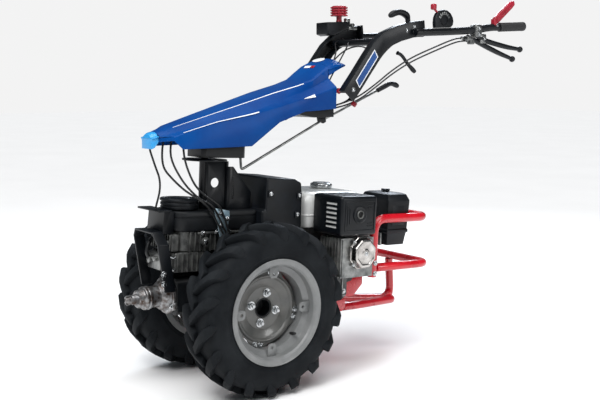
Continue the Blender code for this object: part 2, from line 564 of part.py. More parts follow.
def arm_body(line, half, side, near, far):
    """Bar of rectangular section following the line in the side view, opening outwards behind FLARE_Y."""
    pts = [Vector((a, b)) for a, b in line]
    loops = []
    for i, p in enumerate(pts):
        along = (pts[min(i + 1, len(pts) - 1)] - pts[max(i - 1, 0)]).normalized()
        up = p + Vector((-along.y, along.x)) * half
        low = p - Vector((-along.y, along.x)) * half
        out = max(p.x - FLARE_Y, 0.0) * FLARE
        xa = side * (near + out)
        xb = side * (far + out)
        loops.append([(xa, *up), (xb, *up), (xb, *low), (xa, *low)])
    return loft(loops)


for side in (1, -1):
    tag = "left" if side > 0 else "right"
    arm = solid("arm_" + tag, arm_body(ARM, 0.0285, side, ARM_X - 0.016, ARM_X + 0.016), "bar", "arm_paint")
    inner_line = ARM[:-1] + [(0.734, 1.2090)]
    channel = arm_body(inner_line, 0.0240, side, ARM_X - 0.020, ARM_X + 0.0115)
    cut(arm, "arm_channel_" + tag, channel, "bar")
    tube_path = [(side * 0.1907, 0.690, 1.1925), (side * 0.1987, 0.740, 1.1945), (side * 0.2280, 0.945, 1.207),
                 (side * 0.2420, 1.030, 1.2205), (side * 0.2500, 1.075, 1.2230)]
    solid("handle_tube_" + tag, pipe(tube_path, TUBE_R, 14, 0.08, 3), "bar", "arm_paint", True)
    direction = (Vector(tube_path[-1]) - Vector(tube_path[-2])).normalized()
    g0 = Vector(tube_path[-1]) + direction * GAP
    g1 = g0 + direction * 0.122
    solid("grip_" + tag, pipe([g0, g1], 0.0175, 16), "bar", "rubber", True)
cross_end = ARM_X + 0.0112
solid("cross_tube", pipe([(-cross_end, 0.5800, 1.1600), (cross_end, 0.5800, 1.1600)], 0.0130, 16), "bar",
      "arm_paint", True)
pivot = [(-(ARM_X + 0.0115 - GAP), PIVOT_Y, PIVOT_Z), (ARM_X + 0.0115 - GAP, PIVOT_Y, PIVOT_Z)]
pivot_tube = solid("pivot_tube", pipe(pivot, 0.0085, 16), "bar", "black_paint", True)
cut(beam, "pivot_bore", pipe([(-0.1, PIVOT_Y, PIVOT_Z), (0.1, PIVOT_Y, PIVOT_Z)], 0.0087, 16), "swivel")

# ---------------------------------------------------------------- controls on the handlebar
safety = [(0.2425, 1.0520, 1.2456), (0.245, 1.087, 1.266), (0.250, 1.155, 1.318)]
solid("safety_lever", pipe(safety, 0.0075, 10, 0.02, 3, 1.5), "bar", "red_plastic", True)
upper_lever = [(0.2330, 0.960, 1.1898), (0.238, 1.020, 1.170), (0.247, 1.120, 1.150), (0.253, 1.205, 1.142)]
solid("hand_lever_upper", pipe(upper_lever, 0.0060, 10, 0.02, 3), "bar", "black_plastic", True)
lower_lever = [(0.2230, 0.925, 1.1862), (0.227, 0.990, 1.163), (0.235, 1.080, 1.130), (0.244, 1.172, 1.103)]
solid("hand_lever_lower", pipe(lower_lever, 0.0060, 10, 0.02, 3), "bar", "black_plastic", True)
selector = [(0.1354, 0.700, 1.2000), (0.1354, 0.706, 1.2480), (0.132, 0.670, 1.266), (0.128, 0.620, 1.253)]
solid("selector_lever", pipe(selector, 0.0100, 10, 0.02, 3), "bar", "black_plastic", True)
quadrant = [(0.770, 1.2107), (0.850, 1.2154), (0.862, 1.232), (0.850, 1.262), (0.815, 1.278), (0.785, 1.268),
            (0.768, 1.240)]
solid("speed_quadrant", prism(quadrant, "X", 0.196, 0.214), "bar", "black_plastic")
box_side = [(0.5690, 1.1912), (0.6250, 1.2150), (0.6450, 1.2215), (0.645, 1.246), (0.535, 1.240), (0.535, 1.196),
            (0.555, 1.1900)]
solid("control_box", prism(box_side, "X", -0.190, -0.122), "bar", "black_plastic")
knob = [(1.2456, 0.0), (1.2456, 0.012), (1.266, 0.011), (1.272, 0.030), (1.300, 0.034), (1.306, 0.028),
        (1.306, 0.0)]
solid("ribbed_knob", turned(knob, "Z", (-0.150, 0.616), 16), "bar", "red_plastic", True)

# ---------------------------------------------------------------- control cables from the column cover to the machine
side_x = 0.0893 + CABLE_R + GAP
cables = {
    "cable_long": [(0.028, -0.2490, 0.8540), (0.030, -0.262, 0.800), (0.042, -0.265, 0.749), (0.060, -0.248, 0.714),
                   (0.080, -0.210, 0.672), (side_x + 0.004, -0.160, 0.6350), (side_x + 0.003, -0.125, 0.600),
                   (side_x, -0.100, 0.560), (side_x, -0.072, 0.510)],
    "cable_middle": [(0.046, -0.2330, 0.8585), (0.055, -0.245, 0.780), (0.070, -0.215, 0.705), (0.086, -0.170, 0.650),
                     (side_x + 0.004, -0.125, 0.620), (side_x + 0.002, -0.098, 0.585), (side_x, -0.060, 0.510)],
    "cable_short": [(0.038, -0.1900, 0.8778), (0.060, -0.200, 0.780), (0.072, -0.180, 0.705), (0.084, -0.150, 0.660),
                    (side_x + 0.004, -0.100, 0.620), (side_x + 0.002, -0.080, 0.590), (side_x, -0.048, 0.510)],
    "cable_front": [(0.0, -0.2900, 0.8078), (0.004, -0.290, 0.795), (0.016, -0.280, 0.748), (0.026, -0.272, 0.710),
                    (0.026, -0.272, 0.670), (0.020, -0.284, 0.6165)],
}
for name, route in cables.items():
    solid(name, pipe(route, CABLE_R, 8, 0.03, 3), "ground", "rubber", True)
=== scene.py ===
import json
import math

import bmesh
import bpy
from mathutils import Matrix, Vector

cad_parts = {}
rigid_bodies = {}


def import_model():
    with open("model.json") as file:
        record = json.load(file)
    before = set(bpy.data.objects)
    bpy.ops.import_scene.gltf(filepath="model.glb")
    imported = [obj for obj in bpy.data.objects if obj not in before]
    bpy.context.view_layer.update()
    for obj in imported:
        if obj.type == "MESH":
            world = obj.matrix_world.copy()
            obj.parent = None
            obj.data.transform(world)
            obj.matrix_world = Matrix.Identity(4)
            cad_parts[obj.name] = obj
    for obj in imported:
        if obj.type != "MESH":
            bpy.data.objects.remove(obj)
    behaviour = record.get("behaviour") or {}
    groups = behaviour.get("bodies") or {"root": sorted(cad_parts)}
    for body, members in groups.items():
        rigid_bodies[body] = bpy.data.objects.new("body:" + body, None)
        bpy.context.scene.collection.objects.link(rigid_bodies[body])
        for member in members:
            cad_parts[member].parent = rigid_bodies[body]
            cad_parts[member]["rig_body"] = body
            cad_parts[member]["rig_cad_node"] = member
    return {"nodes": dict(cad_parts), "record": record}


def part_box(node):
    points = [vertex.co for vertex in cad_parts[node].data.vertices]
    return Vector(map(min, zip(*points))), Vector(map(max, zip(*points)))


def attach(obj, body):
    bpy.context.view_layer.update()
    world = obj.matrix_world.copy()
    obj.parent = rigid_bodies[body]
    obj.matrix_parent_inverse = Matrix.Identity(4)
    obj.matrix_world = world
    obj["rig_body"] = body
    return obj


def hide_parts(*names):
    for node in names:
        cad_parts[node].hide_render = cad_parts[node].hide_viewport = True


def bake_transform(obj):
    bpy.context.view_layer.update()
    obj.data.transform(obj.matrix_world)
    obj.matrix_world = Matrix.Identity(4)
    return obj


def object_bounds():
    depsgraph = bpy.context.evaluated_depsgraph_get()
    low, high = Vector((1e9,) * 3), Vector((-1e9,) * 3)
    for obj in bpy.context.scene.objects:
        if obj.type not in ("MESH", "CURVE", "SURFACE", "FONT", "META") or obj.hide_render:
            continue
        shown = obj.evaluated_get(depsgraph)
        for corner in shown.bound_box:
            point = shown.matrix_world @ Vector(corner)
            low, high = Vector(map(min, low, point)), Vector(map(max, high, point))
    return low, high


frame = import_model()
cad_low, cad_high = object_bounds()
body_of = {node: body for body, nodes in frame["record"]["behaviour"]["bodies"].items() for node in nodes}

# %% [markdown]
# The frame's origin is at the operator's hands, which is an awkward place to measure a machine from. So every
# piece is drawn in one of two handier frames: GROUND has its origin on the floor under the wheel axle, and BODY is
# the same frame tipped back with the transmission and engine. A piece is moved to its real place at the end.
# %% Two drawing frames
tyre_low, tyre_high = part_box("tyre_left")
WHEEL_R = (tyre_high.z - tyre_low.z) / 2
HALF_TRACK = (tyre_high.x + tyre_low.x) / 2
AXLE = Vector((0.0, (tyre_low.y + tyre_high.y) / 2, tyre_low.z + WHEEL_R))
BODY_PITCH = math.radians(-3.0)
GROUND = Matrix.Translation((0.0, AXLE.y, tyre_low.z))
TO_AXLE = Matrix.Translation((0.0, 0.0, WHEEL_R))
BODY = GROUND @ TO_AXLE @ Matrix.Rotation(BODY_PITCH, 4, "X") @ TO_AXLE.inverted()
print("wheel radius", round(WHEEL_R, 3), "half track", round(HALF_TRACK, 3))

# %% [markdown]
# A few helpers stand for what a modeller does by hand again and again: pick one object, push a face along a row of
# outlines, spin an outline into a round part, run a bar along a route, and finally bevel, smooth and mount a piece.
# %% Millimetres, and picking one object
def mm(values):
    """Lengths written in millimetres become metres, at any depth of lists and tuples."""
    if isinstance(values, (list, tuple)):
        return type(values)(mm(value) for value in values)
    return round(values / 1000, 7)


def only(obj):
    """obj alone is selected and active, in object mode."""
    if bpy.context.mode != "OBJECT":
        bpy.ops.object.mode_set(mode="OBJECT")
    bpy.ops.object.select_all(action="DESELECT")
    obj.select_set(True)
    bpy.context.view_layer.objects.active = obj


def in_edit_mode(obj, *steps):
    """Each step is an edit-mode operator with its settings, run with the whole mesh selected."""
    only(obj)
    bpy.ops.object.mode_set(mode="EDIT")
    bpy.ops.mesh.select_all(action="SELECT")
    for operator, settings in steps:
        operator(**settings)
    bpy.ops.object.mode_set(mode="OBJECT")
    return obj


OUTWARDS = (bpy.ops.mesh.normals_make_consistent, {"inside": False})
MERGED = (bpy.ops.mesh.remove_doubles, {"threshold": 1e-5})


# %% Push a face along outlines
def loft(loops):
    """A face in the shape of the first outline is extruded to each next outline in turn."""
    bpy.ops.object.select_all(action="DESELECT")
    bpy.ops.mesh.primitive_circle_add(vertices=len(loops[0]), fill_type="NGON")
    obj = bpy.context.object
    bpy.ops.object.mode_set(mode="EDIT")
    for step, loop in enumerate(loops):
        if step:
            bpy.ops.mesh.extrude_region_move()
        mesh = bmesh.from_edit_mesh(obj.data)
        face = [f for f in mesh.faces if f.select][0]
        for corner, place in zip(face.verts, loop):
            corner.co = place
        bmesh.update_edit_mesh(obj.data)
    bpy.ops.object.mode_set(mode="OBJECT")
    return in_edit_mode(obj, OUTWARDS)


def prism(outline, axis, start, end):
    """An outline given as (y, z), (x, z) or (x, y) pairs, pushed along X, Y or Z."""
    def place(a, b, h):
        return {"X": (h, a, b), "Y": (a, h, b), "Z": (a, b, h)}[axis]
    return loft([[place(a, b, h) for a, b in outline] for h in (start, end)])


def block(x, y, z):
    """A cube primitive stretched to the given (low, high) pairs."""
    bpy.ops.object.select_all(action="DESELECT")
    middle = [(pair[0] + pair[1]) / 2 for pair in (x, y, z)]
    size = [abs(pair[1] - pair[0]) for pair in (x, y, z)]
    bpy.ops.mesh.primitive_cube_add(size=1.0, location=middle, scale=size)
    bpy.ops.object.transform_apply(location=True, rotation=True, scale=True)
    return bpy.context.object


# %% Spin an outline
def lathe(outline, axis, centre, steps=64):
    """A closed outline of (along, radius) pairs, spun once round an axis through centre."""
    bpy.ops.object.select_all(action="DESELECT")
    bpy.ops.mesh.primitive_circle_add(vertices=len(outline), fill_type="NOTHING")
    obj = bpy.context.object
    along = {"X": Vector((1, 0, 0)), "Y": Vector((0, 1, 0)), "Z": Vector((0, 0, 1))}[axis]
    out = Vector((0, 0, 1)) if axis != "Z" else Vector((1, 0, 0))
    hub = Vector(centre)
    for corner, (h, r) in zip(obj.data.vertices, outline):
        corner.co = hub + along * h + out * r
    spin = (bpy.ops.mesh.spin, {"steps": steps, "angle": 2 * math.pi, "center": hub, "axis": along})
    whole = (bpy.ops.mesh.select_all, {"action": "SELECT"})
    return in_edit_mode(obj, spin, whole, MERGED, OUTWARDS)


def rod(start, end, radius, sides=24):
    """A cylinder primitive laid from start to end."""
    bpy.ops.object.select_all(action="DESELECT")
    a, b = Vector(start), Vector(end)
    turn = (b - a).to_track_quat("Z", "Y").to_euler()
    bpy.ops.mesh.primitive_cylinder_add(
        vertices=sides, radius=radius, depth=(b - a).length, location=(a + b) / 2, rotation=turn)
    bpy.ops.object.transform_apply(location=True, rotation=True, scale=True)
    return bpy.context.object


# %% Run a bar along a route
def flowing(points, steps=6):
    """More points on a smooth line through the given ones."""
    pts = [Vector(p) for p in points]
    pts = [pts[0] * 2 - pts[1]] + pts + [pts[-1] * 2 - pts[-2]]
    line = []
    for a, b, c, d in zip(pts, pts[1:], pts[2:], pts[3:]):
        for k in range(steps):
            t = k / steps
            line.append(0.5 * (2 * b + (c - a) * t + (2 * a - 5 * b + 4 * c - d) * t**2
                               + (3 * b - a - 3 * c + d) * t**3))
    return line + [pts[-2]]


def bent(points, radius, steps=6):
    """The route of a bent bar: straight runs joined by arcs."""
    pts = [Vector(p) for p in points]
    route = [pts[0]]
    for a, b, c in zip(pts, pts[1:], pts[2:]):
        reach = min(radius, (a - b).length * 0.48, (c - b).length * 0.48)
        p0 = b + (a - b).normalized() * reach
        p2 = b + (c - b).normalized() * reach
        for k in range(steps + 1):
            t = k / steps
            route.append(p0 * (1 - t) ** 2 + b * 2 * t * (1 - t) + p2 * t**2)
    return route + [pts[-1]]


def bar(route, radius, sides=16, taper=None):
    """A round bar, tube or cable sheath along a route."""
    curve = bpy.data.curves.new("route", "CURVE")
    curve.dimensions = "3D"
    curve.bevel_depth = radius
    curve.bevel_resolution = max(1, sides // 4 - 1)
    curve.use_fill_caps = True
    spline = curve.splines.new("POLY")
    spline.points.add(len(route) - 1)
    for k, (point, place) in enumerate(zip(spline.points, route)):
        point.co = (*place, 1.0)
        point.radius = taper[k] if taper else 1.0
    obj = bpy.data.objects.new("bar", curve)
    bpy.context.collection.objects.link(obj)
    only(obj)
    bpy.ops.object.convert(target="MESH")
    return in_edit_mode(bpy.context.object, MERGED, OUTWARDS)


# %% Copy, join and cut
def copy_of(obj, matrix=Matrix.Identity(4)):
    """A second object with its own mesh, moved by matrix."""
    twin = obj.copy()
    twin.data = obj.data.copy()
    bpy.context.collection.objects.link(twin)
    twin.data.transform(matrix)
    if matrix.determinant() < 0:
        twin.data.flip_normals()
    return twin


def joined(parts):
    """All parts as one object."""
    only(parts[0])
    for part in parts[1:]:
        part.select_set(True)
    if len(parts) > 1:
        bpy.ops.object.join()
    return bpy.context.object


def with_modifier(obj, kind, **settings):
    """A modifier is added and applied."""
    only(obj)
    modifier = obj.modifiers.new(kind.lower(), kind)
    for key, value in settings.items():
        setattr(modifier, key, value)
    bpy.ops.object.modifier_apply(modifier=modifier.name)
    return obj


def cut(obj, tool):
    """tool's shape is taken out of obj."""
    with_modifier(obj, "BOOLEAN", operation="DIFFERENCE", solver="EXACT", object=tool)
    bpy.data.objects.remove(tool)
    return obj


def eased(obj, width, segments=2, angle=40):
    """Edges sharper than angle are rounded."""
    return with_modifier(obj, "BEVEL", width=width, segments=segments, limit_method="ANGLE",
                         angle_limit=math.radians(angle))


def brick(x, y, z, width, segments=2):
    """A block with rounded edges, in millimetres."""
    return eased(block(*mm((x, y, z))), mm(width), segments)


def pin(start, end, radius, sides, width, segments=2):
    """A rod with rounded ends, in millimetres."""
    return eased(rod(*mm((start, end, radius)), sides), mm(width), segments)


def spun(obj, centre, angle, axis):
    """obj, drawn round the origin, is turned by angle about axis and carried to centre."""
    obj.data.transform(Matrix.Translation(centre) @ Matrix.Rotation(angle, 4, axis))
    return obj


# %% Mount a finished piece
made_pieces = []


def mount(obj, name, body, material, place=GROUND, stands_for=(), smooth=38):
    """The piece gets its place, name, surface and shading, and rides on a body of the frame."""
    only(obj)
    bpy.ops.object.transform_apply(location=True, rotation=True, scale=True)
    obj.data.transform(place)
    obj.name = name
    obj.data.name = name
    obj.data.materials.clear()
    obj.data.materials.append(material)
    bpy.ops.object.shade_smooth_by_angle(angle=math.radians(smooth))
    if stands_for:
        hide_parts(*stands_for)
    if body:
        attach(obj, body)
    made_pieces.append(name)
    print(name, len(obj.data.polygons), "faces")
    return obj


def mount_between(obj, name, material, stands_for=()):
    """A cable on no body: its place is baked into its mesh."""
    mount(obj, name, None, material, GROUND, stands_for, 60)
    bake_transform(obj)


def bare_copy(node):
    """A copy of a working solid, free of its body."""
    twin = copy_of(frame["nodes"][node])
    twin.parent = None
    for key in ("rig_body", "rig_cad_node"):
        del twin[key]
    return twin


def stand_in(obj, node, material, place=GROUND, smooth=38):
    """The finer shape that stands for a working solid, on that solid's body."""
    return mount(obj, node + "_finished", body_of[node], material, place, (node,), smooth)


def fixed(obj, name, material, smooth=38):
    """A piece of the chassis that stands for no working solid, drawn in BODY."""
    return mount(obj, name, "chassis", material, BODY, (), smooth)


def dress(node, material, width=0.0015, segments=2, angle=35, smooth=38):
    """A working solid whose shape is right: a copy gets its edges rounded and stands for it."""
    twin = bare_copy(node)
    in_edit_mode(twin, MERGED, (bpy.ops.mesh.dissolve_limited, {"angle_limit": math.radians(1.0)}))
    if width:
        eased(twin, width, segments, angle)
    return stand_in(twin, node, material, Matrix.Identity(4), smooth)


# %% [markdown]
# Every surface is a common workshop finish: moulded rubber, powder coat, sand-cast iron, die-cast aluminium,
# moulded ABS. Each gets slow colour patches of dust or handling, a fine grain that breaks the highlights, and a
# roughness that wanders a little. Sizes are in millimetres, so the grain stays true on every piece.
# %% Colours and nodes
def colour(hex_code):
    """sRGB hex to the linear values that Blender mixes."""
    values = [int(hex_code[k:k + 2], 16) / 255 for k in (1, 3, 5)]
    return (*[v / 12.92 if v <= 0.04045 else ((v + 0.055) / 1.055) ** 2.4 for v in values], 1.0)


def add_node(tree, kind, settings=None, links=None):
    """One node with its settings, socket values and links."""
    made = tree.nodes.new(kind)
    for key, value in (settings or {}).items():
        if hasattr(made, key):
            setattr(made, key, value)
        else:
            made.inputs[key].default_value = value
    for key, source in (links or {}).items():
        tree.links.new(source, made.inputs[key])
    return made


def finish(name, dark, light, rough, metallic=0.0, patch_mm=70.0, grain_mm=1.2, depth_mm=0.05, coat=0.0,
           spread=0.06, stretch=(1.0, 1.0, 1.0), specular=0.5):
    """A Principled surface whose colour wanders from dark to light over patch_mm, with a grain of grain_mm."""
    material = bpy.data.materials.new(name)
    material.use_nodes = True
    tree = material.node_tree
    shader = tree.nodes["Principled BSDF"]
    shader.inputs["Metallic"].default_value = metallic
    shader.inputs["Coat Weight"].default_value = coat
    shader.inputs["Specular IOR Level"].default_value = specular
    shader.inputs["Coat Roughness"].default_value = 0.08
    place = add_node(tree, "ShaderNodeTexCoord")
    turned = add_node(tree, "ShaderNodeMapping", {"Scale": stretch}, {"Vector": place.outputs["Object"]})
    patches = add_node(tree, "ShaderNodeTexNoise", {"Scale": 1000.0 / patch_mm, "Detail": 5.0, "Roughness": 0.6},
                       {"Vector": turned.outputs[0]})
    ramp = add_node(tree, "ShaderNodeValToRGB", {}, {"Fac": patches.outputs["Fac"]})
    ramp.color_ramp.elements[0].position = 0.35
    ramp.color_ramp.elements[0].color = colour(dark)
    ramp.color_ramp.elements[1].position = 0.68
    ramp.color_ramp.elements[1].color = colour(light)
    tree.links.new(ramp.outputs["Color"], shader.inputs["Base Color"])
    shine = add_node(tree, "ShaderNodeMapRange", {"To Min": rough - spread, "To Max": rough + spread},
                     {"Value": patches.outputs["Fac"]})
    tree.links.new(shine.outputs["Result"], shader.inputs["Roughness"])
    grain = add_node(tree, "ShaderNodeTexNoise", {"Scale": 1000.0 / grain_mm, "Detail": 3.0},
                     {"Vector": turned.outputs[0]})
    relief = add_node(tree, "ShaderNodeBump", {"Strength": 0.6, "Distance": depth_mm / 1000.0},
                      {"Height": grain.outputs["Fac"]})
    tree.links.new(relief.outputs["Normal"], shader.inputs["Normal"])
    return material


# %% The finishes
# Vulcanised rubber is dull and dusty; its grain is the mould's, about 2 mm so that it shows.
TYRE_RUBBER = finish("vulcanised_rubber", "#080c10", "#1b1e21", 0.7, patch_mm=90, grain_mm=2.5, depth_mm=0.25,
                     specular=0.15)
GRIP_RUBBER = finish("moulded_grip_rubber", "#121314", "#1e1f21", 0.6, grain_mm=1.5, depth_mm=0.12)
SHEATH = finish("extruded_pvc_sheath", "#0b0c0d", "#151719", 0.38, grain_mm=3, depth_mm=0.02)
# Powder coat levels out to a soft orange peel of about 3 mm.
RIM_PAINT = finish("grey_powder_coat", "#686a6a", "#7b7c7c", 0.36, grain_mm=3, depth_mm=0.03, coat=0.25)
DISC_PAINT = finish("dark_grey_powder_coat", "#4b4c4a", "#605f5c", 0.34, grain_mm=3, depth_mm=0.03, coat=0.3)
BLACK_PAINT = finish("black_powder_coat", "#05070a", "#0c1015", 0.36, grain_mm=3, depth_mm=0.05, specular=0.3)
RED_PAINT = finish("red_powder_coat", "#b80016", "#cc0a20", 0.28, grain_mm=3, depth_mm=0.03, coat=0.5)
WHITE_PAINT = finish("white_enamel", "#c9cac8", "#dedfdd", 0.28, grain_mm=3, depth_mm=0.02, coat=0.5)
# Sand-cast iron keeps the sand's grain, here 2 mm, under its paint.
CAST_BLACK = finish("painted_sand_cast_iron", "#040609", "#0d1115", 0.48, grain_mm=2.2, depth_mm=0.3, specular=0.3)
CAST_GREY = finish("bare_sand_cast_iron", "#3a3b3b", "#6d6e6c", 0.5, 0.6, patch_mm=30, grain_mm=2.0, depth_mm=0.3)
PRESSED_STEEL = finish("pressed_plated_steel", "#a39f9b", "#d6d2ce", 0.2, 1.0, patch_mm=30, grain_mm=2.0,
                       depth_mm=0.03)
ALUMINIUM = finish("die_cast_aluminium", "#5d5f5f", "#a3a4a2", 0.34, 0.9, patch_mm=40, grain_mm=1.6, depth_mm=0.12)
TURNED_STEEL = finish("turned_rusting_steel", "#4b3d36", "#a9abad", 0.34, 0.85, patch_mm=16, grain_mm=1.2,
                      depth_mm=0.08)
ZINC = finish("zinc_plated_steel", "#9fa2a4", "#cfd1d2", 0.26, 1.0, patch_mm=12, grain_mm=1.0, depth_mm=0.03)
BLUE_ZINC = finish("blue_passivated_steel", "#7d97a5", "#b3c6cf", 0.32, 0.7, patch_mm=30, grain_mm=1.5, depth_mm=0.04)
# Moulded ABS: gloss for the covers, spark-eroded texture for the dull parts.
BLUE_ABS = finish("gloss_blue_abs", "#00377a", "#00468c", 0.38, patch_mm=200, grain_mm=6, depth_mm=0.02, specular=0.12,
                  spread=0.03)
SKY_ABS = finish("gloss_sky_blue_abs", "#1f8ccf", "#2f9ad9", 0.3, patch_mm=200, grain_mm=6, depth_mm=0.02, coat=0.2)
BLACK_ABS = finish("textured_black_abs", "#05070a", "#0c1117", 0.44, grain_mm=1.4, depth_mm=0.1, specular=0.3)
RED_ABS = finish("moulded_red_nylon", "#8e1526", "#ad1f35", 0.38, grain_mm=1.6, depth_mm=0.05)
# White vinyl for the badge, the tab and the label edges; the same white also paints the highlight lines on the cover.
WHITE_DECAL_AND_HIGHLIGHT = finish("white_decal_and_painted_highlight", "#dfe3e8", "#f2f4f6", 0.35, grain_mm=4, depth_mm=0.01)
BLUE_VINYL = finish("blue_vinyl_decal", "#163f78", "#1d4d8e", 0.35, grain_mm=4, depth_mm=0.01)
# Near black, used as painted shade inside the muffler's outlet.
PAINTED_SHADE = finish("unlit_opening", "#040506", "#0a0b0c", 0.8, grain_mm=3, depth_mm=0.1)
print(len(bpy.data.materials), "materials")

# %% [markdown]
# The tyre is the machine's biggest piece and its most telling one. The carcass is spun from its section; each lug
# starts on the middle of the tread, runs back to the shoulder at 45 degrees and folds down the side wall. One lug is
# drawn, then copied 18 times for each side, the second side half a step later, as on a real tractor tread.
# %% Tyre carcass
TYRE_OUTER = mm([(45, 153), (58.5, 153.3), (65.2, 159.5), (66.4, 175), (69.8, 188), (71.2, 189.5), (71.6, 193.5),
                 (71.2, 195.5), (72, 208), (71.2, 224), (68, 238), (61, 250), (48, 258), (26, 262.5)])
TYRE_HOLLOW = mm([(30, 251), (50, 244), (59, 230), (62, 212), (59, 187), (50, 169), (43, 161)])
LUGS = 18
half_section = TYRE_OUTER + [(0.0, 0.2635)] + [(-x, r) for x, r in reversed(TYRE_OUTER)]
section = half_section + [(-x, r) for x, r in reversed(TYRE_HOLLOW)] + [(0.0, 0.2525)] + TYRE_HOLLOW
wheel_centre = Vector((0.0, 0.0, WHEEL_R))
carcass = lathe([(HALF_TRACK + x, r) for x, r in section], "X", wheel_centre, 96)
print("carcass faces", len(carcass.data.polygons))

# %% One lug
# Each station: place across the tread, top radius, foot radius, foot place, half widths of top and foot, lag.
LUG = mm([(-9, 280, 256, -6, 12, 17, 0), (-4, 284.5, 256, -4, 12.5, 17.5, 4), (22, 284.3, 256, 22, 13, 19, 30),
          (46, 281.5, 250, 44, 14.5, 20.5, 54), (63.5, 274, 242, 54, 17, 22, 68), (71.2, 262, 236, 60, 16.5, 21, 74),
          (72.2, 248, 230, 64, 12, 16, 78), (71.5, 233, 226, 66, 5, 8, 82)])


TREAD_RADIUS = 0.27


def lug(side):
    """One lug on the given side of the tread; the middle of the tread leads."""
    loops = []
    for x_top, r_top, r_foot, x_foot, w_top, w_foot, lag in LUG:
        corners = ((x_foot, r_foot, -w_foot), (x_top, r_top, -w_top), (x_top, r_top, w_top), (x_foot, r_foot, w_foot))
        loop = []
        for x, r, w in corners:
            angle = (w - lag) / TREAD_RADIUS
            loop.append((HALF_TRACK + side * x, r * math.cos(angle), WHEEL_R + r * math.sin(angle)))
        loops.append(loop)
    return loops


def about_axle(angle):
    """A turn round the wheels' axle."""
    return TO_AXLE @ Matrix.Rotation(angle, 4, "X") @ TO_AXLE.inverted()


def tread():
    """Both rows of lugs, the inner row half a step behind the outer one."""
    first = {side: eased(loft(lug(side)), 0.0012, 2, 25) for side in (1, -1)}
    parts = [copy_of(first[side], about_axle(2 * math.pi * (k + (0.5 if side < 0 else 0.0)) / LUGS))
             for side in (1, -1) for k in range(LUGS)]
    for drawn in first.values():
        bpy.data.objects.remove(drawn)
    return parts


MIRROR = Matrix.Scale(-1, 4, (1, 0, 0))


def both_wheels(obj, name, material, node=None, smooth=38):
    """The near wheel's piece and its mirror image for the far wheel."""
    for piece, side in ((obj, "left"), (copy_of(obj, MIRROR), "right")):
        stands_for = (f"{node}_{side}",) if node else ()
        mount(piece, f"{name}_{side}_finished", "wheel_" + side, material, GROUND, stands_for, smooth)


tyre = joined([carcass] + tread())
both_wheels(tyre, "tyre", TYRE_RUBBER, "tyre", 30)

# %% [markdown]
# The wheel is a rolled rim with four pierced tabs and a pressed disc bolted between them. The rolled lips come from
# a bevel on the spun section. The disc's flange is spun round first and its vertices are then pulled in between the
# four ears, as a press tool would trim it.
# %% Rim, tabs and valve
RIM = mm([(-71, 174.2), (-67, 174.2), (-65.5, 158), (-60, 152.5), (-36, 151.5), (-28, 132), (28, 132), (36, 151.5),
          (60, 152.5), (65.5, 158), (66.5, 172.5), (71.5, 173.8), (71.8, 171.2), (70, 169), (69.4, 156), (62.5, 149),
          (38, 148), (30, 128.8), (-30, 128.8), (-38, 148), (-61, 149), (-69.5, 156)])
TAB_ANGLE = math.radians(88)
EAR_ANGLE = math.radians(74)
rim = eased(lathe([(HALF_TRACK + x, r) for x, r in RIM], "X", wheel_centre, 112), 0.0009, 2, 28)


def round_axle(obj, angle):
    """obj drawn straight above the axle, copied to an angle counted from the rear."""
    return copy_of(obj, about_axle(angle - math.pi / 2))


def rim_tab():
    """A plate on the bead seat with a foot and a hole."""
    x = HALF_TRACK + 0.04
    top = WHEEL_R + 0.1495
    plate = prism([(-0.0165, top), (0.0165, top), (0.0165, top - 0.034), (0.01, top - 0.043),
                   (-0.01, top - 0.043), (-0.0165, top - 0.034)], "X", x - 0.0022, x + 0.0022)
    cut(plate, rod((x - 0.01, 0.0, top - 0.029), (x + 0.01, 0.0, top - 0.029), 0.005))
    foot = block((x - 0.024, x), (-0.015, 0.015), (top - 0.0042, top - 0.0002))
    return eased(joined([plate, foot]), 0.0007)


tab = rim_tab()
tabs = [round_axle(tab, TAB_ANGLE + k * math.pi / 2) for k in range(4)]
bpy.data.objects.remove(tab)
both_wheels(joined([rim] + tabs), "rim", RIM_PAINT, "rim")
valve = joined([rod((HALF_TRACK + 0.012, 0, WHEEL_R + 0.133), (HALF_TRACK + 0.04, 0, WHEEL_R + 0.123), 0.0055, 16),
                rod((HALF_TRACK + 0.038, 0, WHEEL_R + 0.1237), (HALF_TRACK + 0.05, 0, WHEEL_R + 0.1195), 0.0042, 16)])
valve_turned = round_axle(valve, math.radians(-46))
bpy.data.objects.remove(valve)
both_wheels(eased(valve_turned, 0.001), "tyre_valve", GRIP_RUBBER)

# %% Pressed disc
disc_low, disc_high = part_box("wheel_disc_left")
DISC_X = disc_high.x - 0.012
DISC = mm([(0, 33), (1.5, 34.5), (1.5, 36.5), (0, 38.5), (0, 70), (3.5, 73.5), (8.5, 98.5), (15, 103), (16.5, 106.5),
           (15, 110.5), (12, 113), (12, 128.4), (7.5, 128.4), (7.5, 111.5), (11, 106.5), (4, 101), (-1.5, 75.5),
           (-5, 71.5), (-5, 33)])
disc = lathe([(DISC_X + x, r) for x, r in DISC], "X", wheel_centre, 96)
for corner in disc.data.vertices:
    y, z = corner.co.y, corner.co.z - WHEEL_R
    reach = math.hypot(y, z)
    if reach > 0.12:
        off_ear = abs((math.atan2(z, y) - EAR_ANGLE + math.pi / 4) % (math.pi / 2) - math.pi / 4)
        trimmed = 0.1284 - 0.0105 * min(1.0, max(0.0, (math.degrees(off_ear) - 13.0) / 9.0))
        corner.co.y = y * trimmed / reach
        corner.co.z = WHEEL_R + z * trimmed / reach
eased(disc, 0.0008, 2, 35)
both_wheels(disc, "wheel_disc", DISC_PAINT, "wheel_disc")


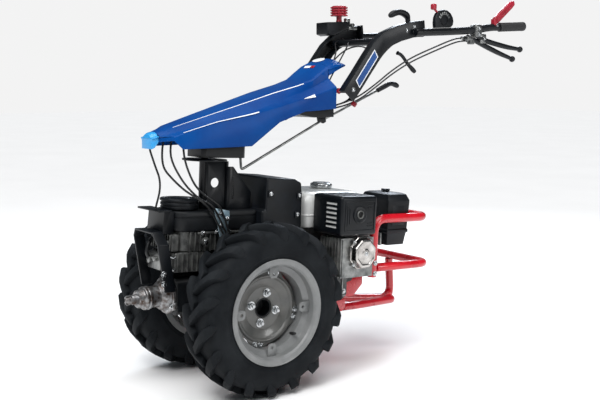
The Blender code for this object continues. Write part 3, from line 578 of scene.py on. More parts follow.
# %% Nuts and bolts
def hex_bolt(head, axis, across=0.017, height=0.008, stud=0.0, washer=True):
    """A hexagon head or nut with its washer, standing on the point head and looking along axis."""
    point, line = Vector(head), Vector(axis).normalized()
    parts = [rod(point, point + line * height, across / math.sqrt(3), 6)]
    eased(parts[0], across * 0.06, 2, 30)
    if washer:
        parts.append(eased(rod(point - line * 0.001, point + line * 0.0018, across * 0.78, 20), 0.0004, 1))
    if stud:
        parts.append(eased(rod(point, point + line * (height + stud), across * 0.3, 14), 0.0006, 1))
    return joined(parts)


def bolts(places, axis, **sizes):
    """The same bolt at several places, as one object."""
    first = hex_bolt((0, 0, 0), axis, **sizes)
    row = [copy_of(first, Matrix.Translation(place)) for place in places]
    bpy.data.objects.remove(first)
    return joined(row)


def on_circle(x, radius, angles):
    """Points on a circle round the axle."""
    return [(x, radius * math.cos(math.radians(a)), WHEEL_R + radius * math.sin(math.radians(a))) for a in angles]


hub_studs = bolts(on_circle(DISC_X, 0.05, (74, 164, 254, 344)), (1, 0, 0), across=0.019, height=0.011, stud=0.007)
ear_bolts = bolts(on_circle(DISC_X + 0.012, 0.1215, (69, 80, 159, 170, 249, 260, 339, 350)), (1, 0, 0),
                  across=0.014, height=0.007, stud=0.004)
both_wheels(joined([hub_studs, ear_bolts]), "wheel_bolts", ZINC)
hub = lathe([(0.12, 0.0), (0.12, 0.0218), (0.1565, 0.0218), (0.157, 0.042), (0.188, 0.042), (0.1885, 0.068),
             (DISC_X - 0.0055, 0.068), (DISC_X - 0.0055, 0.0325), (DISC_X - 0.001, 0.0325), (DISC_X - 0.001, 0.027),
             (0.166, 0.0262), (0.166, 0.0105), (0.174, 0.0095), (0.174, 0.0)], "X", wheel_centre, 64)
both_wheels(eased(hub, 0.0009), "wheel_hub", CAST_BLACK, "wheel_hub")

# %% [markdown]
# The cover is one long moulding of gloss ABS. Its section changes all the way: a low pointed nose, a body with a
# shoulder crease on each side, and a hump that opens into a scoop at the back. The outline of each station is
# rounded off at the shoulder, and each station's outside and inside outlines are pushed into the next as one wall.
# %% Cover stations
# y, half width and height of the lower edge, side crease and shoulder, height of the ridge.
COVER = mm([(-278.5, 39, 826, 38, 838, 28, 852, 858), (-250, 88, 831, 87, 843, 35, 862, 868),
            (-228, 104, 804.5, 94, 852, 40, 873, 878), (-100, 108, 804.5, 100, 885, 54, 910, 913),
            (28, 110, 804.5, 106, 907, 63, 947, 950), (142, 110, 880, 109, 932, 68, 980, 983),
            (248, 112, 914, 112, 961, 73, 1006, 1010), (305, 118, 917, 122, 975, 76, 1024, 1029),
            (340, 124, 920, 128, 987, 78, 1048, 1056), (372, 128, 922, 130, 998, 80, 1068, 1083)])
VISOR = mm([(372.3, 90, 1038, 87, 1052, 80, 1068.5, 1083), (405, 86, 1053, 84, 1062, 79, 1074.5, 1096),
            (432, 82, 1064, 81, 1069, 77, 1076.5, 1099), (456, 76.5, 1071.5, 75.5, 1074, 71, 1078, 1089)])
COVER_WALL = 0.0035


def shelf(y, mid, up):
    """The valley above the side crease. Its line climbs along the side panel, fades out behind the panel, and comes
    back deeper beside the hump, where the side turns into a scoop."""
    along = (y + 0.301) / 0.331
    panel = Vector((0.04 + 0.06 * along, y, 0.838 + 0.079 * along))
    level = mid.lerp(up, 0.35)
    scoop = Vector((up.x + 0.006, y, mid.z + (up.z - mid.z) * 0.42))
    panel_end = min(1.0, max(0.0, (y - 0.03) / 0.05))
    scoop_start = min(1.0, max(0.0, (y - 0.225) / 0.06))
    return panel.lerp(level, panel_end).lerp(scoop, scoop_start)


def cover_outline(station, shoulder=0.008):
    """One cross section from the near lower edge over the ridge to the far one."""
    y, low_x, low_z, mid_x, mid_z, up_x, up_z, top_z = station
    low, mid, up = Vector((low_x, y, low_z)), Vector((mid_x, y, mid_z)), Vector((up_x, y, up_z))
    ridge = Vector((0.0, y, top_z))
    valley = shelf(y, mid, up)
    half = [low, low.lerp(mid, 0.5), mid - (mid - low).normalized() * 0.002,
            mid + (valley - mid).normalized() * 0.002, valley, valley.lerp(up, 0.12)]
    inward = (Vector((up_x * 0.5, y, up_z + (top_z - up_z) * 0.85)) - up).normalized()
    reach = min(shoulder, (up - mid).length * 0.4)
    a = up - (up - mid).normalized() * reach
    b = up + inward * reach
    half += [a * (1 - t) ** 2 + up * 2 * t * (1 - t) + b * t**2 for t in (0.0, 0.25, 0.5, 0.75, 1.0)]
    half += [Vector((up_x * 0.5, y, up_z + (top_z - up_z) * 0.85))]
    return half + [ridge] + [Vector((-p.x, p.y, p.z)) for p in reversed(half)]


def between(stations, y):
    """The station at any y, by straight lines between the given ones."""
    for first, second in zip(stations, stations[1:]):
        if first[0] <= y <= second[0]:
            t = (y - first[0]) / (second[0] - first[0])
            return tuple(a + (b - a) * t for a, b in zip(first, second))
    return stations[0] if y < stations[0][0] else stations[-1]


def moulded_shell(stations, wall):
    """An open moulding: outside and inside outlines of each station, pushed into one closed wall."""
    loops = []
    for station in stations:
        outside = cover_outline(station)
        y, low_x, low_z, mid_x, mid_z, up_x, up_z, top_z = station
        inside = cover_outline((y, low_x - wall, low_z, mid_x - wall, mid_z - wall * 0.3, up_x - wall * 0.8,
                                up_z - wall, top_z - wall))
        loops.append(outside + list(reversed(inside)))
    return loft(loops)


cover = moulded_shell(COVER, COVER_WALL)
eased(cover, 0.0012, 2, 50)
stand_in(cover, "cover", BLUE_ABS, smooth=24)
visor = eased(moulded_shell(VISOR, COVER_WALL), 0.001, 2, 50)
stand_in(visor, "cover_visor", BLUE_ABS, smooth=24)
nose = loft([cover_outline((-0.2788, *COVER[0][1:])),
             cover_outline(mm((-292, 37, 808, 36, 834, 26, 849, 855))),
             cover_outline(mm((-300.5, 33, 803.5, 32, 830, 23, 844, 850)))])
stand_in(eased(nose, 0.0014), "nose_cap", SKY_ABS, smooth=30)

# %% [markdown]
# The white lines on the cover are painted highlights on its crease and shoulder, and the blank badge is vinyl. Each
# line is a thin strip that follows the cover's own outline a hair above it, so it bends with the shoulder and needs
# no picture.
# %% Painted highlight lines on the cover
# The painted highlight strips stand this far off the cover.
HIGHLIGHT_LIFT = 0.0004


def on_cover(y, share, side):
    """A point of the cover's side: share 0 is the lower edge, 1 the crease, 2 the shoulder, 3 the ridge."""
    station = between(COVER, y)
    corners = [Vector((station[1], y, station[2])), Vector((station[3], y, station[4])),
               Vector((station[5], y, station[6])), Vector((0.0, y, station[7]))]
    k = min(2, int(share))
    line = corners[k + 1] - corners[k]
    out = Vector((line.z, 0.0, -line.x)).normalized()
    if out.x < 0:
        out = -out
    point = corners[k] + line * (share - k) + out * HIGHLIGHT_LIFT
    return Vector((side * point.x, point.y, point.z))


def painted_highlight_strip(route, side, width, lift):
    """A white strip of painted highlight along (y, share) pairs, width across it in metres at each end, lift above its
    place.
    """
    loops = []
    for k, (y, share) in enumerate(route):
        wide = width[0] + (width[1] - width[0]) * k / (len(route) - 1)
        centre = on_cover(y, share, side) + Vector((side * HIGHLIGHT_LIFT, 0.0, lift))
        station = between(COVER, y)
        rise = Vector((side * (station[5] - station[3]), 0.0, station[6] - station[4])).normalized()
        out = Vector((rise.z * side, 0.0, -rise.x * side)).normalized() * 0.0005
        up, down = centre + rise * wide / 2, centre - rise * wide / 2
        loops.append([down - out, up - out, up + out, down + out])
    return loft(loops)


# Painted highlight lines: start, step, share of the side, number of stations, width at each end, lift.
PAINTED_HIGHLIGHT_LINES = ((-0.222, 0.0255, 1.0, 12, (0.0016, 0.0042), 0.002), (-0.23, 0.0216, 1.93, 24, (0.0016, 0.003), 0.0),
           (0.243, 0.006, 0.96, 8, (0.0012, 0.012), 0.0))
highlight_strips = [painted_highlight_strip([(start + k * step, share) for k in range(count)], side, width, lift)
          for side in (1, -1) for start, step, share, count, width, lift in PAINTED_HIGHLIGHT_LINES]
# The strips are white painted highlights on the cover's crease and shoulder edges.
mount(joined(highlight_strips), "cover_painted_highlights", "steering_head", WHITE_DECAL_AND_HIGHLIGHT, smooth=30)

# %% Blank badge and tab on the tail
TAIL_SLOPE = Matrix.Rotation(math.radians(21.7), 4, "X")
HUMP_SLOPE = Matrix.Rotation(math.radians(38.5), 4, "X")
badge = pin((0, 0, 0), (0, 0, 1.6), 23, 48, 0.5)
badge.data.transform(Matrix.Translation((0.0, 0.395, 1.0926)) @ TAIL_SLOPE @ Matrix.Diagonal((1.25, 0.8, 1.0, 1.0)))
mount(badge, "hump_badge", "steering_head", WHITE_DECAL_AND_HIGHLIGHT)
for x, paint, name in (((-28, 6), WHITE_DECAL_AND_HIGHLIGHT, "hump_tab_white"), ((6, 28), RED_ABS, "hump_tab_red")):
    tab = brick(x, (-6, 6), (0, 1), 0.3, 1)
    tab.data.transform(Matrix.Translation((0.0, 0.354, 1.0683)) @ HUMP_SLOPE)
    mount(tab, name, "steering_head", paint)

# %% Tray, beam and shift rod under the cover
dress("undertray", BLACK_ABS, 0.0025, 3)
dress("beam", BLACK_PAINT, 0.0012, 2)
ROD_X = 0.03
rod_route = bent([(ROD_X, 0.0345, 0.7613), (ROD_X, 0.037, 0.7205), (ROD_X, 0.388, 0.879), (ROD_X, 0.654, 0.984)],
                 0.012, 6)
stand_in(eased(bar(rod_route, 0.0044, 20), 0.0006, 2, 50), "shift_rod", ALUMINIUM, smooth=60)
handle_route = flowing(mm([(30, 654.3, 984.1), (30, 690, 999), (30, 715, 1008), (30, 735, 1008.5), (30, 760, 1000)]), 5)
handle_fat = [0.95, 0.98, 1.0, 1.05, 1.08, 1.1, 1.1, 1.08, 1.05, 1.0, 0.98, 0.98, 0.98, 1.0, 1.0, 1.05, 1.12, 1.15,
              1.12, 1.0, 0.8]
rod_handle = bar(handle_route, 0.0088, 20, handle_fat)
stand_in(eased(rod_handle, 0.0025, 3, 50), "rod_handle", BLACK_ABS)
tray_hooks = []
for y, z in ((0.205, 0.899), (0.372, 0.884)):
    hook = prism([(y - 0.02, z + 0.012), (y + 0.014, z + 0.008), (y + 0.018, z - 0.01), (y + 0.005, z - 0.016),
                  (y - 0.004, z - 0.008), (y - 0.014, z - 0.013)], "X", 0.04, 0.052)
    tray_hooks.append(eased(hook, 0.002))
mount(joined(tray_hooks), "rod_clips", "steering_head", BLACK_ABS)

# %% [markdown]
# Under the cover stands the steering column: a tube, a side plate with a sight hole and a gusset. These are plate and
# tube work, so the working solids are right, and only their edges are broken. The transmission's housings are
# castings, and get the round corners, ribs and bolts of castings.
# %% Column and guard
for node in ("column_tube", "column_plate", "column_gusset"):
    dress(node, BLACK_PAINT, 0.0008)
dress("steel_bracket", BLUE_ZINC, 0.0008)
dress("front_bracket", BLACK_PAINT, 0.0012)
dress("pto_guard", BLACK_PAINT, 0.0018, 3)
dress("gearbox", CAST_BLACK, 0.004, 3)


# %% Transmission housing
def hydro_outline(z, inset, front=0.034, back=0.006, corner_steps=6):
    """The transmission housing's plan at height z, with wide round corners in front."""
    x0, x1, y0, y1 = -0.085 + inset, 0.085 - inset, -0.2547 + inset, 0.0448
    outline = []
    for cx, cy, r, start in ((x1 - front, y0 + front, front, -90), (x1 - back, y1 - back, back, 0),
                             (x0 + back, y1 - back, back, 90), (x0 + front, y0 + front, front, 180)):
        for k in range(corner_steps):
            t = math.radians(start + 90 * k / (corner_steps - 1))
            outline.append((cx + r * math.cos(t), cy + r * math.sin(t), z))
    return outline


HOUSING = mm([(526.2, 10), (530, 2), (536, 0), (570, 0), (571.5, 2), (574.5, 2), (576, 0), (588, 0), (592, 3)])
housing = loft([hydro_outline(z, inset) for z, inset in HOUSING])
stand_in(housing, "hydro_unit", CAST_BLACK, BODY, 40)
lower = [loft([hydro_outline(z, inset) for z, inset in mm(((460.3, 20), (464, 16), (526.2, 14)))])]
for k in range(13):
    y = -0.205 + 0.019 * k
    lower.append(eased(block((0.065, 0.08), (y - 0.002, y + 0.002), (0.462, 0.5255)), 0.0012))
lower.append(brick((65, 83), (-180, 20), (518, 525.5), 1.5))
lower.append(pin((65, -150, 493), (86, -150, 493), 15, 28, 2))
fixed(joined(lower), "transmission_lower_casting", CAST_GREY)
casting_bolts = [(0.083, y, 0.5215) for y in (-0.16, -0.11, -0.06, -0.01)] + [(0.086, -0.15, 0.493)]
fixed(bolts(casting_bolts, (1, 0, 0), across=0.01, height=0.005), "transmission_bolts", ZINC)
arch_bolts = mm([(94.5, -300, 383.2), (94.5, -300, 415)])
mount(bolts(arch_bolts, (1, 0, 0), across=0.013, height=0.006), "pto_guard_bolts", "chassis", ZINC)

# %% Belt cover with its lid and screws
dress("belt_cover", BLACK_ABS, 0.007, 4)
LID_GROWTH, LID_Y, LID_LIFT = 1.035, 0.137, 0.0025
lid = bare_copy("belt_cover")
lid.data.transform(BODY.inverted())
above = prism(mm([(30, 678), (150, 678), (170, 660), (230, 660), (230, 720), (30, 720)]), "X", -0.13, 0.13)
with_modifier(lid, "BOOLEAN", operation="INTERSECT", solver="EXACT", object=above)
bpy.data.objects.remove(above)
for corner in lid.data.vertices:
    corner.co.x *= LID_GROWTH
    corner.co.y = LID_Y + (corner.co.y - LID_Y) * LID_GROWTH
    corner.co.z += LID_LIFT if corner.co.z > 0.682 else 0.0
fixed(eased(lid, 0.005, 3, 30), "belt_cover_lid", BLACK_ABS)
lugs = [eased(block((0.116, 0.124), (y - 0.01, y + 0.01), (z - 0.012, z + 0.01)), 0.002)
        for y, z in mm(((196, 640), (75, 648), (190, 575)))]
fixed(joined(lugs), "belt_cover_lugs", BLACK_ABS)
lug_screws = mm([(124, 196, 640), (124, 75, 648), (124, 190, 575)])
fixed(bolts(lug_screws, (1, 0, 0), across=0.009, height=0.004), "belt_cover_lug_screws", ZINC)
bracket_bolts = mm([(89.5, -100, 585), (89.5, -72, 566), (89.5, -95, 545)])
fixed(bolts(bracket_bolts, (1, 0, 0), across=0.01, height=0.005), "steel_bracket_bolts", ZINC)

# %% Ribbed casting with its machined bars
dress("ribbed_casting", CAST_GREY, 0.006, 3)
ribs = []
for k in range(9):
    x = -0.062 + k * 0.0155
    ribs.append(eased(block((x - 0.0022, x + 0.0022), (-0.262, -0.253), (0.3975, 0.458)), 0.0012))
for k in range(7):
    y = -0.246 + k * 0.018
    ribs.append(eased(block((0.069, 0.077), (y - 0.0022, y + 0.0022), (0.3975, 0.458)), 0.0012))
fixed(joined(ribs), "casting_ribs", CAST_GREY)
upper = [brick((-70, 70), (-260, -240), (464, 520), 6, 3)]
for k in range(10):
    x = -0.064 + k * 0.015
    upper.append(eased(block((x - 0.0018, x + 0.0018), (-0.268, -0.259), (0.466, 0.518)), 0.001))
upper.append(pin((-10, -260, 500), (-10, -276, 500), 12, 24, 2))
upper.append(pin((46, -260, 490), (46, -274, 490), 9, 24, 2))
upper.append(bar(flowing(mm([(-10, -272, 500), (10, -278, 512), (30, -276, 500), (46, -270, 490)]), 5), 0.0042, 14))
fixed(joined(upper), "gearbox_front_casting", CAST_GREY)
bars = [eased(rod((-0.06, -0.266, z), (0.09, -0.266, z), 0.004, 16), 0.001) for z in (0.408, 0.448)]
fixed(joined(bars), "control_rods", ZINC)
valve = [brick((-45, 35), (-290, -268), (400, 456), 5, 3),
         pin((-20, -290, 430), (-20, -302, 430), 11, 24, 1.5),
         pin((12, -290, 436), (12, -300, 436), 8.5, 24, 1.5),
         pin((-45, -279, 415), (-62, -279, 415), 8, 24, 1.5)]
fixed(joined(valve), "valve_block", ALUMINIUM)
hose = flowing(mm([(-20, -296, 432), (-22, -306, 452), (-24, -299, 480), (-26, -280, 505)]), 5)
fixed(bar(hose, 0.006, 16), "valve_hose", SHEATH, 60)
dress("engine_mount", RED_PAINT, 0.0025, 2)

# %% Filter drum: ribbed side and pierced lid
drum_low, drum_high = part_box("filter_drum")
drum_y = (BODY.inverted() @ ((drum_low + drum_high) / 2)).y
DRUM = mm([(592.3, 0), (592.3, 58), (596.5, 62.5), (602, 63), (603, 61.2), (607.5, 61.2), (608.5, 63), (615, 63),
           (617, 60), (620.5, 60), (621.8, 64.5), (627, 65), (629.5, 62.5), (630, 56), (628.5, 54), (628.5, 33),
           (632, 30), (633.8, 0)])
drum = lathe(DRUM, "Z", (0.0, drum_y, 0.0), 72)
slots = [spun(block((0.037, 0.051), (-0.0035, 0.0035), (0.6255, 0.64)), (0, drum_y, 0), 2 * math.pi * k / 20, "Z")
         for k in range(20)]
cut(drum, joined(slots))
stand_in(eased(drum, 0.0005, 1), "filter_drum", BLACK_ABS, BODY, 30)

# %% Power take-off
PTO_Z = 0.325
PTO = mm([(-235.3, 0), (-235.3, 60), (-238, 62), (-247, 62), (-249, 60), (-250, 50.5), (-264, 48), (-270, 44),
          (-276, 36), (-303, 34), (-306, 37.5), (-314, 38.5), (-315, 36.5), (-320, 36.5), (-321, 38.5), (-327, 37.5),
          (-330, 31), (-347, 28.5), (-350, 25.5), (-350, 16.2), (-290, 16.2), (-290, 0)])
pto = eased(lathe(PTO, "Y", (0.0, 0.0, PTO_Z), 64), 0.0008)
FLANGE = [Vector((0.056 * math.cos(math.radians(a)), 0.0, PTO_Z + 0.056 * math.sin(math.radians(a))))
          for a in (90, 210, 330)]
ears = [eased(rod(centre + Vector((0, -0.2353, 0)), centre + Vector((0, -0.248, 0)), 0.0155, 28), 0.0015, angle=30)
        for centre in FLANGE]
stand_in(joined([pto] + ears), "pto_housing", TURNED_STEEL, smooth=30)
dress("pto_shaft", TURNED_STEEL, 0.0008)
flange_bolts = [centre + Vector((0, -0.248, 0)) for centre in FLANGE]
mount(bolts(flange_bolts, (0, -1, 0), across=0.013, height=0.008), "pto_flange_bolts", "chassis", ZINC)

# %% [markdown]
# The engine is the usual slanted single-cylinder block. From outside one sees a louvred muffler guard, the finned
# head with its octagonal cover, a white tank with a zinc cap, the air cleaner's box and the recoil starter behind.
# %% Muffler guard
guard = brick((105, 262), (270, 433), (511, 647), 11, 4)
SLOT_HEIGHTS = [0.536 + 0.0158 * row for row in range(6)]
tools = [block((0.178, 0.236), (0.26, 0.2735), (z, z + 0.0085)) for z in SLOT_HEIGHTS]
for row in range(5):
    for col in range(5):
        x, y = 0.128 + col * 0.027, 0.295 + row * 0.028
        tools.append(rod((x, y, 0.644), (x, y, 0.66), 0.0048, 10))
cut(guard, joined(tools))
pipe_stub = rod((0.15, 0.36, 0.5003), (0.15, 0.36, 0.515), 0.018)
stand_in(joined([guard, pipe_stub]), "muffler_guard", BLACK_PAINT, BODY, 30)
slats = [block((0.1785, 0.2355), (0.2728, 0.2738), (z + 0.0005, z + 0.008)) for z in SLOT_HEIGHTS]
fixed(joined(slats), "muffler_slot_glimpses", WHITE_PAINT)
OUTLET_Y, OUTLET_Z = 0.352, 0.584
OUTLET = (0.0, OUTLET_Y, OUTLET_Z)
outlet = lathe(mm([(260, 10.5), (268, 10.5), (269, 11.5), (269, 13.5), (267, 15), (260, 15)]), "X", OUTLET, 40)
# A near-black disc in the outlet's bore is painted shade where the pipe is dark inside.
outlet_shade_disc = rod((0.26, OUTLET_Y, OUTLET_Z), (0.263, OUTLET_Y, OUTLET_Z), 0.0104, 28)
boss = lathe(mm([(260, 15), (265, 15), (265.5, 24), (266.5, 26.5), (265.5, 29), (260, 30)]), "X", OUTLET, 48)
border = []
for y0, y1, z0, z1 in mm(((286, 420, 627, 630), (286, 420, 528, 531), (286, 289, 528, 630), (417, 420, 528, 630),
                          (388, 414, 614, 617), (388, 414, 605, 608), (388, 414, 542, 545), (388, 414, 551, 554),
                          (296, 299, 545, 616), (306, 309, 552, 608))):
    border.append(eased(block((0.2605, 0.264), (y0, y1), (z0, z1)), 0.001))
fixed(joined([boss] + border), "muffler_guard_pressings", BLACK_PAINT)
fixed(outlet, "muffler_outlet", CAST_GREY)
# The disc in the outlet is painted shade.
fixed(outlet_shade_disc, "muffler_outlet_painted_shade", PAINTED_SHADE)

# %% Cylinder head with fins
head_core = block((0.1103, 0.235), (0.306, 0.444), (0.366, 0.494))
fins = [block((0.122 + k * 0.015, 0.122 + k * 0.015 + 0.0045), (0.3005, 0.4495), (0.3605, 0.4995)) for k in range(8)]
fin_stack = eased(joined(fins), 0.001, 1)
carb = brick((112, 163), (440, 540), (457, 498), 6, 3)
bowl = lathe(mm([(428, 0), (428, 12), (432, 19), (456, 20), (460, 0)]), "Z", (0.138, 0.505, 0.0), 32)
flange = brick((108, 168), (540, 549.5), (454, 500), 3)
head = joined([head_core, fin_stack, carb, bowl, flange])
stand_in(head, "cylinder_head", ALUMINIUM, BODY, 30)

# %% Octagonal head cover, with its raised rim and screws
HEAD_Y, HEAD_Z = 0.386, 0.447


def octagon(x, scale):
    """The head cover's outline at x."""
    corners = [math.radians(22.5 + 45 * k) for k in range(8)]
    return [(x, HEAD_Y + 0.056 * scale * math.cos(t), HEAD_Z + 0.06 * scale * math.sin(t)) for t in corners]


cap_loops = [octagon(0.2353, 1.0), octagon(0.243, 1.0), octagon(0.244, 0.93), octagon(0.26, 0.9),
             octagon(0.266, 0.84), octagon(0.267, 0.7), octagon(0.2645, 0.66), octagon(0.2645, 0.3),
             octagon(0.267, 0.26)]
head_cover = eased(loft(cap_loops), 0.0025, 3, 25)
stand_in(head_cover, "head_cover", PRESSED_STEEL, BODY, 30)
cover_screws = [(0.244, HEAD_Y + 0.05 * math.cos(t), HEAD_Z + 0.054 * math.sin(t))
                for t in (math.radians(a) for a in (45, 135, 225, 315))] + [(0.267, HEAD_Y, HEAD_Z)]
fixed(bolts(cover_screws, (1, 0, 0), across=0.01, height=0.0035), "head_cover_screws", ZINC)

# %% Crankcase, with the sump flange, ribs and bolts
dress("engine_block", CAST_GREY, 0.006, 3)
sump = [brick((-118, 108.5), (211, 440), (266, 272), 1.5)]
for x in (-0.08, -0.02, 0.04, 0.09):
    sump.append(eased(block((x, x + 0.006), (0.43, 0.442), (0.274, 0.335)), 0.0012, 1))
side_ribs = [eased(block((0.106, 0.113), (0.235 + 0.03 * k, 0.24 + 0.03 * k), (0.275, 0.352)), 0.001, 1)
             for k in range(7)]
fixed(joined(sump + side_ribs), "crankcase_ribs", ALUMINIUM)
case_bolts = [(0.11, y, z) for y in (0.235, 0.425) for z in (0.285, 0.345)]
fixed(bolts(case_bolts, (1, 0, 0), across=0.012, height=0.006), "crankcase_bolts", ZINC)

# %% Tank and cap
TANK_X, TANK_Y = (-0.18, 0.103), (0.235, 0.52)


def tank_outline(z, inset, corner=0.03):
    """Rounded rectangle at height z."""
    x0, x1 = TANK_X[0] + inset, TANK_X[1] - inset
    y0, y1 = TANK_Y[0] + inset, TANK_Y[1] - inset
    points = []
    for cx, cy, start in ((x1 - corner, y0 + corner, -90), (x1 - corner, y1 - corner, 0),
                          (x0 + corner, y1 - corner, 90),
                          (x0 + corner, y0 + corner, 180)):
        for k in range(5):
            t = math.radians(start + 22.5 * k)
            points.append((cx + corner * math.cos(t), cy + corner * math.sin(t), z))
    return points


tank_steps = mm([(520.3, 12), (524, 4), (532, 1), (562, 0), (564, -1.8), (568, -1.8), (570, 0), (608, 0), (623, 3),
                 (635, 10), (642, 19), (645.5, 32), (646, 45)])
tank = loft([tank_outline(z, inset) for z, inset in tank_steps])
stand_in(tank, "fuel_tank", WHITE_PAINT, BODY, 40)
CAP = mm([(646.3, 0), (646.3, 34), (650, 39), (653.5, 41), (660, 41), (664, 39), (666.5, 33), (669, 30), (669, 0)])
cap = lathe(CAP, "Z", (-0.05, 0.43, 0.0), 64)
flutes = []
for k in range(16):
    t = 2 * math.pi * k / 16
    centre = Vector((-0.05 + 0.0425 * math.cos(t), 0.43 + 0.0425 * math.sin(t), 0.0))
    flutes.append(rod(centre + Vector((0, 0, 0.65)), centre + Vector((0, 0, 0.67)), 0.0032, 10))
cut(cap, joined(flutes))
stand_in(eased(cap, 0.0006, 1), "tank_cap", ZINC, BODY, 30)

# %% Air cleaner: low box, hood and wing knob
CLEANER = mm([(455, 52, 180, 562, 645), (500, 46, 187, 556, 650), (502, 41, 191, 551, 655), (512, 41, 191, 551, 655),
              (514, 44, 188, 554, 652), (612, 40, 192, 550, 656), (614, 40.2, 191.8, 550.2, 655.8),
              (620, 40.2, 191.8, 550.2, 655.8), (640, 50, 182, 559, 647), (645, 62, 170, 570, 636)])
cleaner = eased(loft([[(x0, y0, z), (x1, y0, z), (x1, y1, z), (x0, y1, z)] for z, x0, x1, y0, y1 in CLEANER]),
                0.006, 4, 50)
wing = pin((116, 603, 643), (116, 603, 656), 10, 24, 2)
arms = [eased(block((0.116 - a, 0.116 + a), (0.603 - b, 0.603 + b), (0.648, 0.656)), 0.002)
        for a, b in ((0.02, 0.0035), (0.0035, 0.02))]
wing = joined([wing] + arms)
panel = brick((189.5, 192), (572, 634), (530, 600), 1.5)
stand_in(joined([cleaner, wing, panel]), "air_cleaner", BLACK_ABS, BODY, 30)

# %% Recoil starter with its louvres, rope guide and handle
STARTER = mm([(440.3, 0), (440.3, 110), (444, 112), (450, 112), (454, 109), (480, 106), (490, 98), (499, 82),
              (503, 60), (504.8, 30), (504.8, 0)])
starter = lathe(STARTER, "Y", (-0.005, 0.0, 0.366), 72)
STARTER_CENTRE = (-0.005, 0, 0.366)
vents = [spun(block((-0.0035, 0.0035), (0.488, 0.52), (ring - 0.007, ring + 0.007)), STARTER_CENTRE,
              2 * math.pi * k / count, "Y")
         for ring, count in ((0.05, 14), (0.07, 20)) for k in range(count)]
cut(starter, joined(vents))
guide = brick((-60, -30), (470, 502), (440, 464), 4, 3)
pull = pin((-68, 500, 455), (-24, 500, 455), 9, 20, 4, 3)
stand_in(joined([starter, guide, pull]), "recoil_starter", BLACK_PAINT, BODY, 30)

# %% [markdown]
# The guard round the engine is bent tube. It is drawn again along the same route with more points in every bend and
# rounder sides. The side plates of the engine mount and the bolts of the guard come with it.
# %% Engine guard
HOOP_X, POST_Y, BAR_Z = 0.213, 0.466, 0.384
TUBE, THIN_TUBE = 0.016, 0.0152
upper = bent([(HOOP_X, POST_Y, 0.352), (HOOP_X, POST_Y, 0.559), (HOOP_X, 0.728, 0.559), (-HOOP_X, 0.728, 0.559),
              (-HOOP_X, POST_Y, 0.559), (-HOOP_X, POST_Y, 0.352)], 0.052, 8)
stand_in(eased(bar(upper, TUBE, 24), 0.0015, 2, 50), "guard_upper_hoop", RED_PAINT, BODY)
low_y = POST_Y + TUBE + 0.0008
lower = bent([(HOOP_X, low_y, BAR_Z), (HOOP_X, 0.745, BAR_Z), (-HOOP_X, 0.745, BAR_Z), (-HOOP_X, low_y, BAR_Z)],
             0.052, 8)
stand_in(eased(bar(lower, THIN_TUBE, 24), 0.0015, 2, 50), "guard_lower_hoop", RED_PAINT, BODY)
SKID_X, SKID_BEND, SKID_REAR = 0.075, 0.024, 0.762
lean = math.atan2(SKID_X - SKID_BEND, SKID_REAR - SKID_BEND - 0.506)
hairpin = []
for k in range(17):
    t = lean + (math.pi - 2 * lean) * k / 16
    hairpin.append((SKID_BEND * math.cos(t), SKID_REAR - SKID_BEND + SKID_BEND * math.sin(t), 0.2085))
skid_route = [Vector(p) for p in [(SKID_X, 0.456, 0.218), (SKID_X, 0.506, 0.218)] + hairpin
              + [(-SKID_X, 0.506, 0.218), (-SKID_X, 0.456, 0.218)]]
legs = []
for side in (1, -1):
    route = bent([(side * SKID_X, 0.506, 0.218), (0.0, SKID_REAR + 0.004, 0.2085), (0.0, 0.748, 0.3678)], 0.055, 10)
    legs.append(bar(route, THIN_TUBE, 24))
skid = joined([bar(skid_route, THIN_TUBE, 24)] + legs)
stand_in(skid, "guard_skid", RED_PAINT, BODY)
plate = prism(mm([(435.7, 300), (535, 302), (535, 272), (490, 232), (435.7, 234)]), "X", 0.083, 0.089)
far_plate = copy_of(plate, MIRROR)
mount(eased(joined([plate, far_plate]), 0.0015), "engine_mount_plates", "chassis", RED_PAINT)
guard_bolts = [bolts([(side * (HOOP_X + TUBE * 0.95), POST_Y, z) for z in (0.366, 0.404)], (side, 0, 0), across=0.012,
                     height=0.005) for side in (1, -1)]
fixed(joined(guard_bolts), "guard_bolts", ZINC)

# %% [markdown]
# The handlebar: two channel-section arms with their bolts, a cross tube, slim tubes that carry the grips, and the
# operator's controls. Arms and tubes are structural, so the working solids only get their edges broken; the
# controls are moulded or cast parts with a shape of their own, and are drawn again.
# %% Arms and tubes
for node in ("arm_left", "arm_right", "cross_tube", "pivot_tube"):
    dress(node, BLACK_PAINT, 0.0016, 2, 40)
for side, tag in ((1, "left"), (-1, "right")):
    route = flowing([(side * 0.1907, 0.69, 1.1925), (side * 0.1987, 0.74, 1.1945), (side * 0.213, 0.845, 1.2005),
                     (side * 0.229, 0.95, 1.2085), (side * 0.242, 1.03, 1.22), (side * 0.25, 1.075, 1.223)], 5)
    stand_in(eased(bar(route, 0.0139, 24), 0.0015, 2, 50), f"handle_tube_{tag}", BLACK_PAINT)


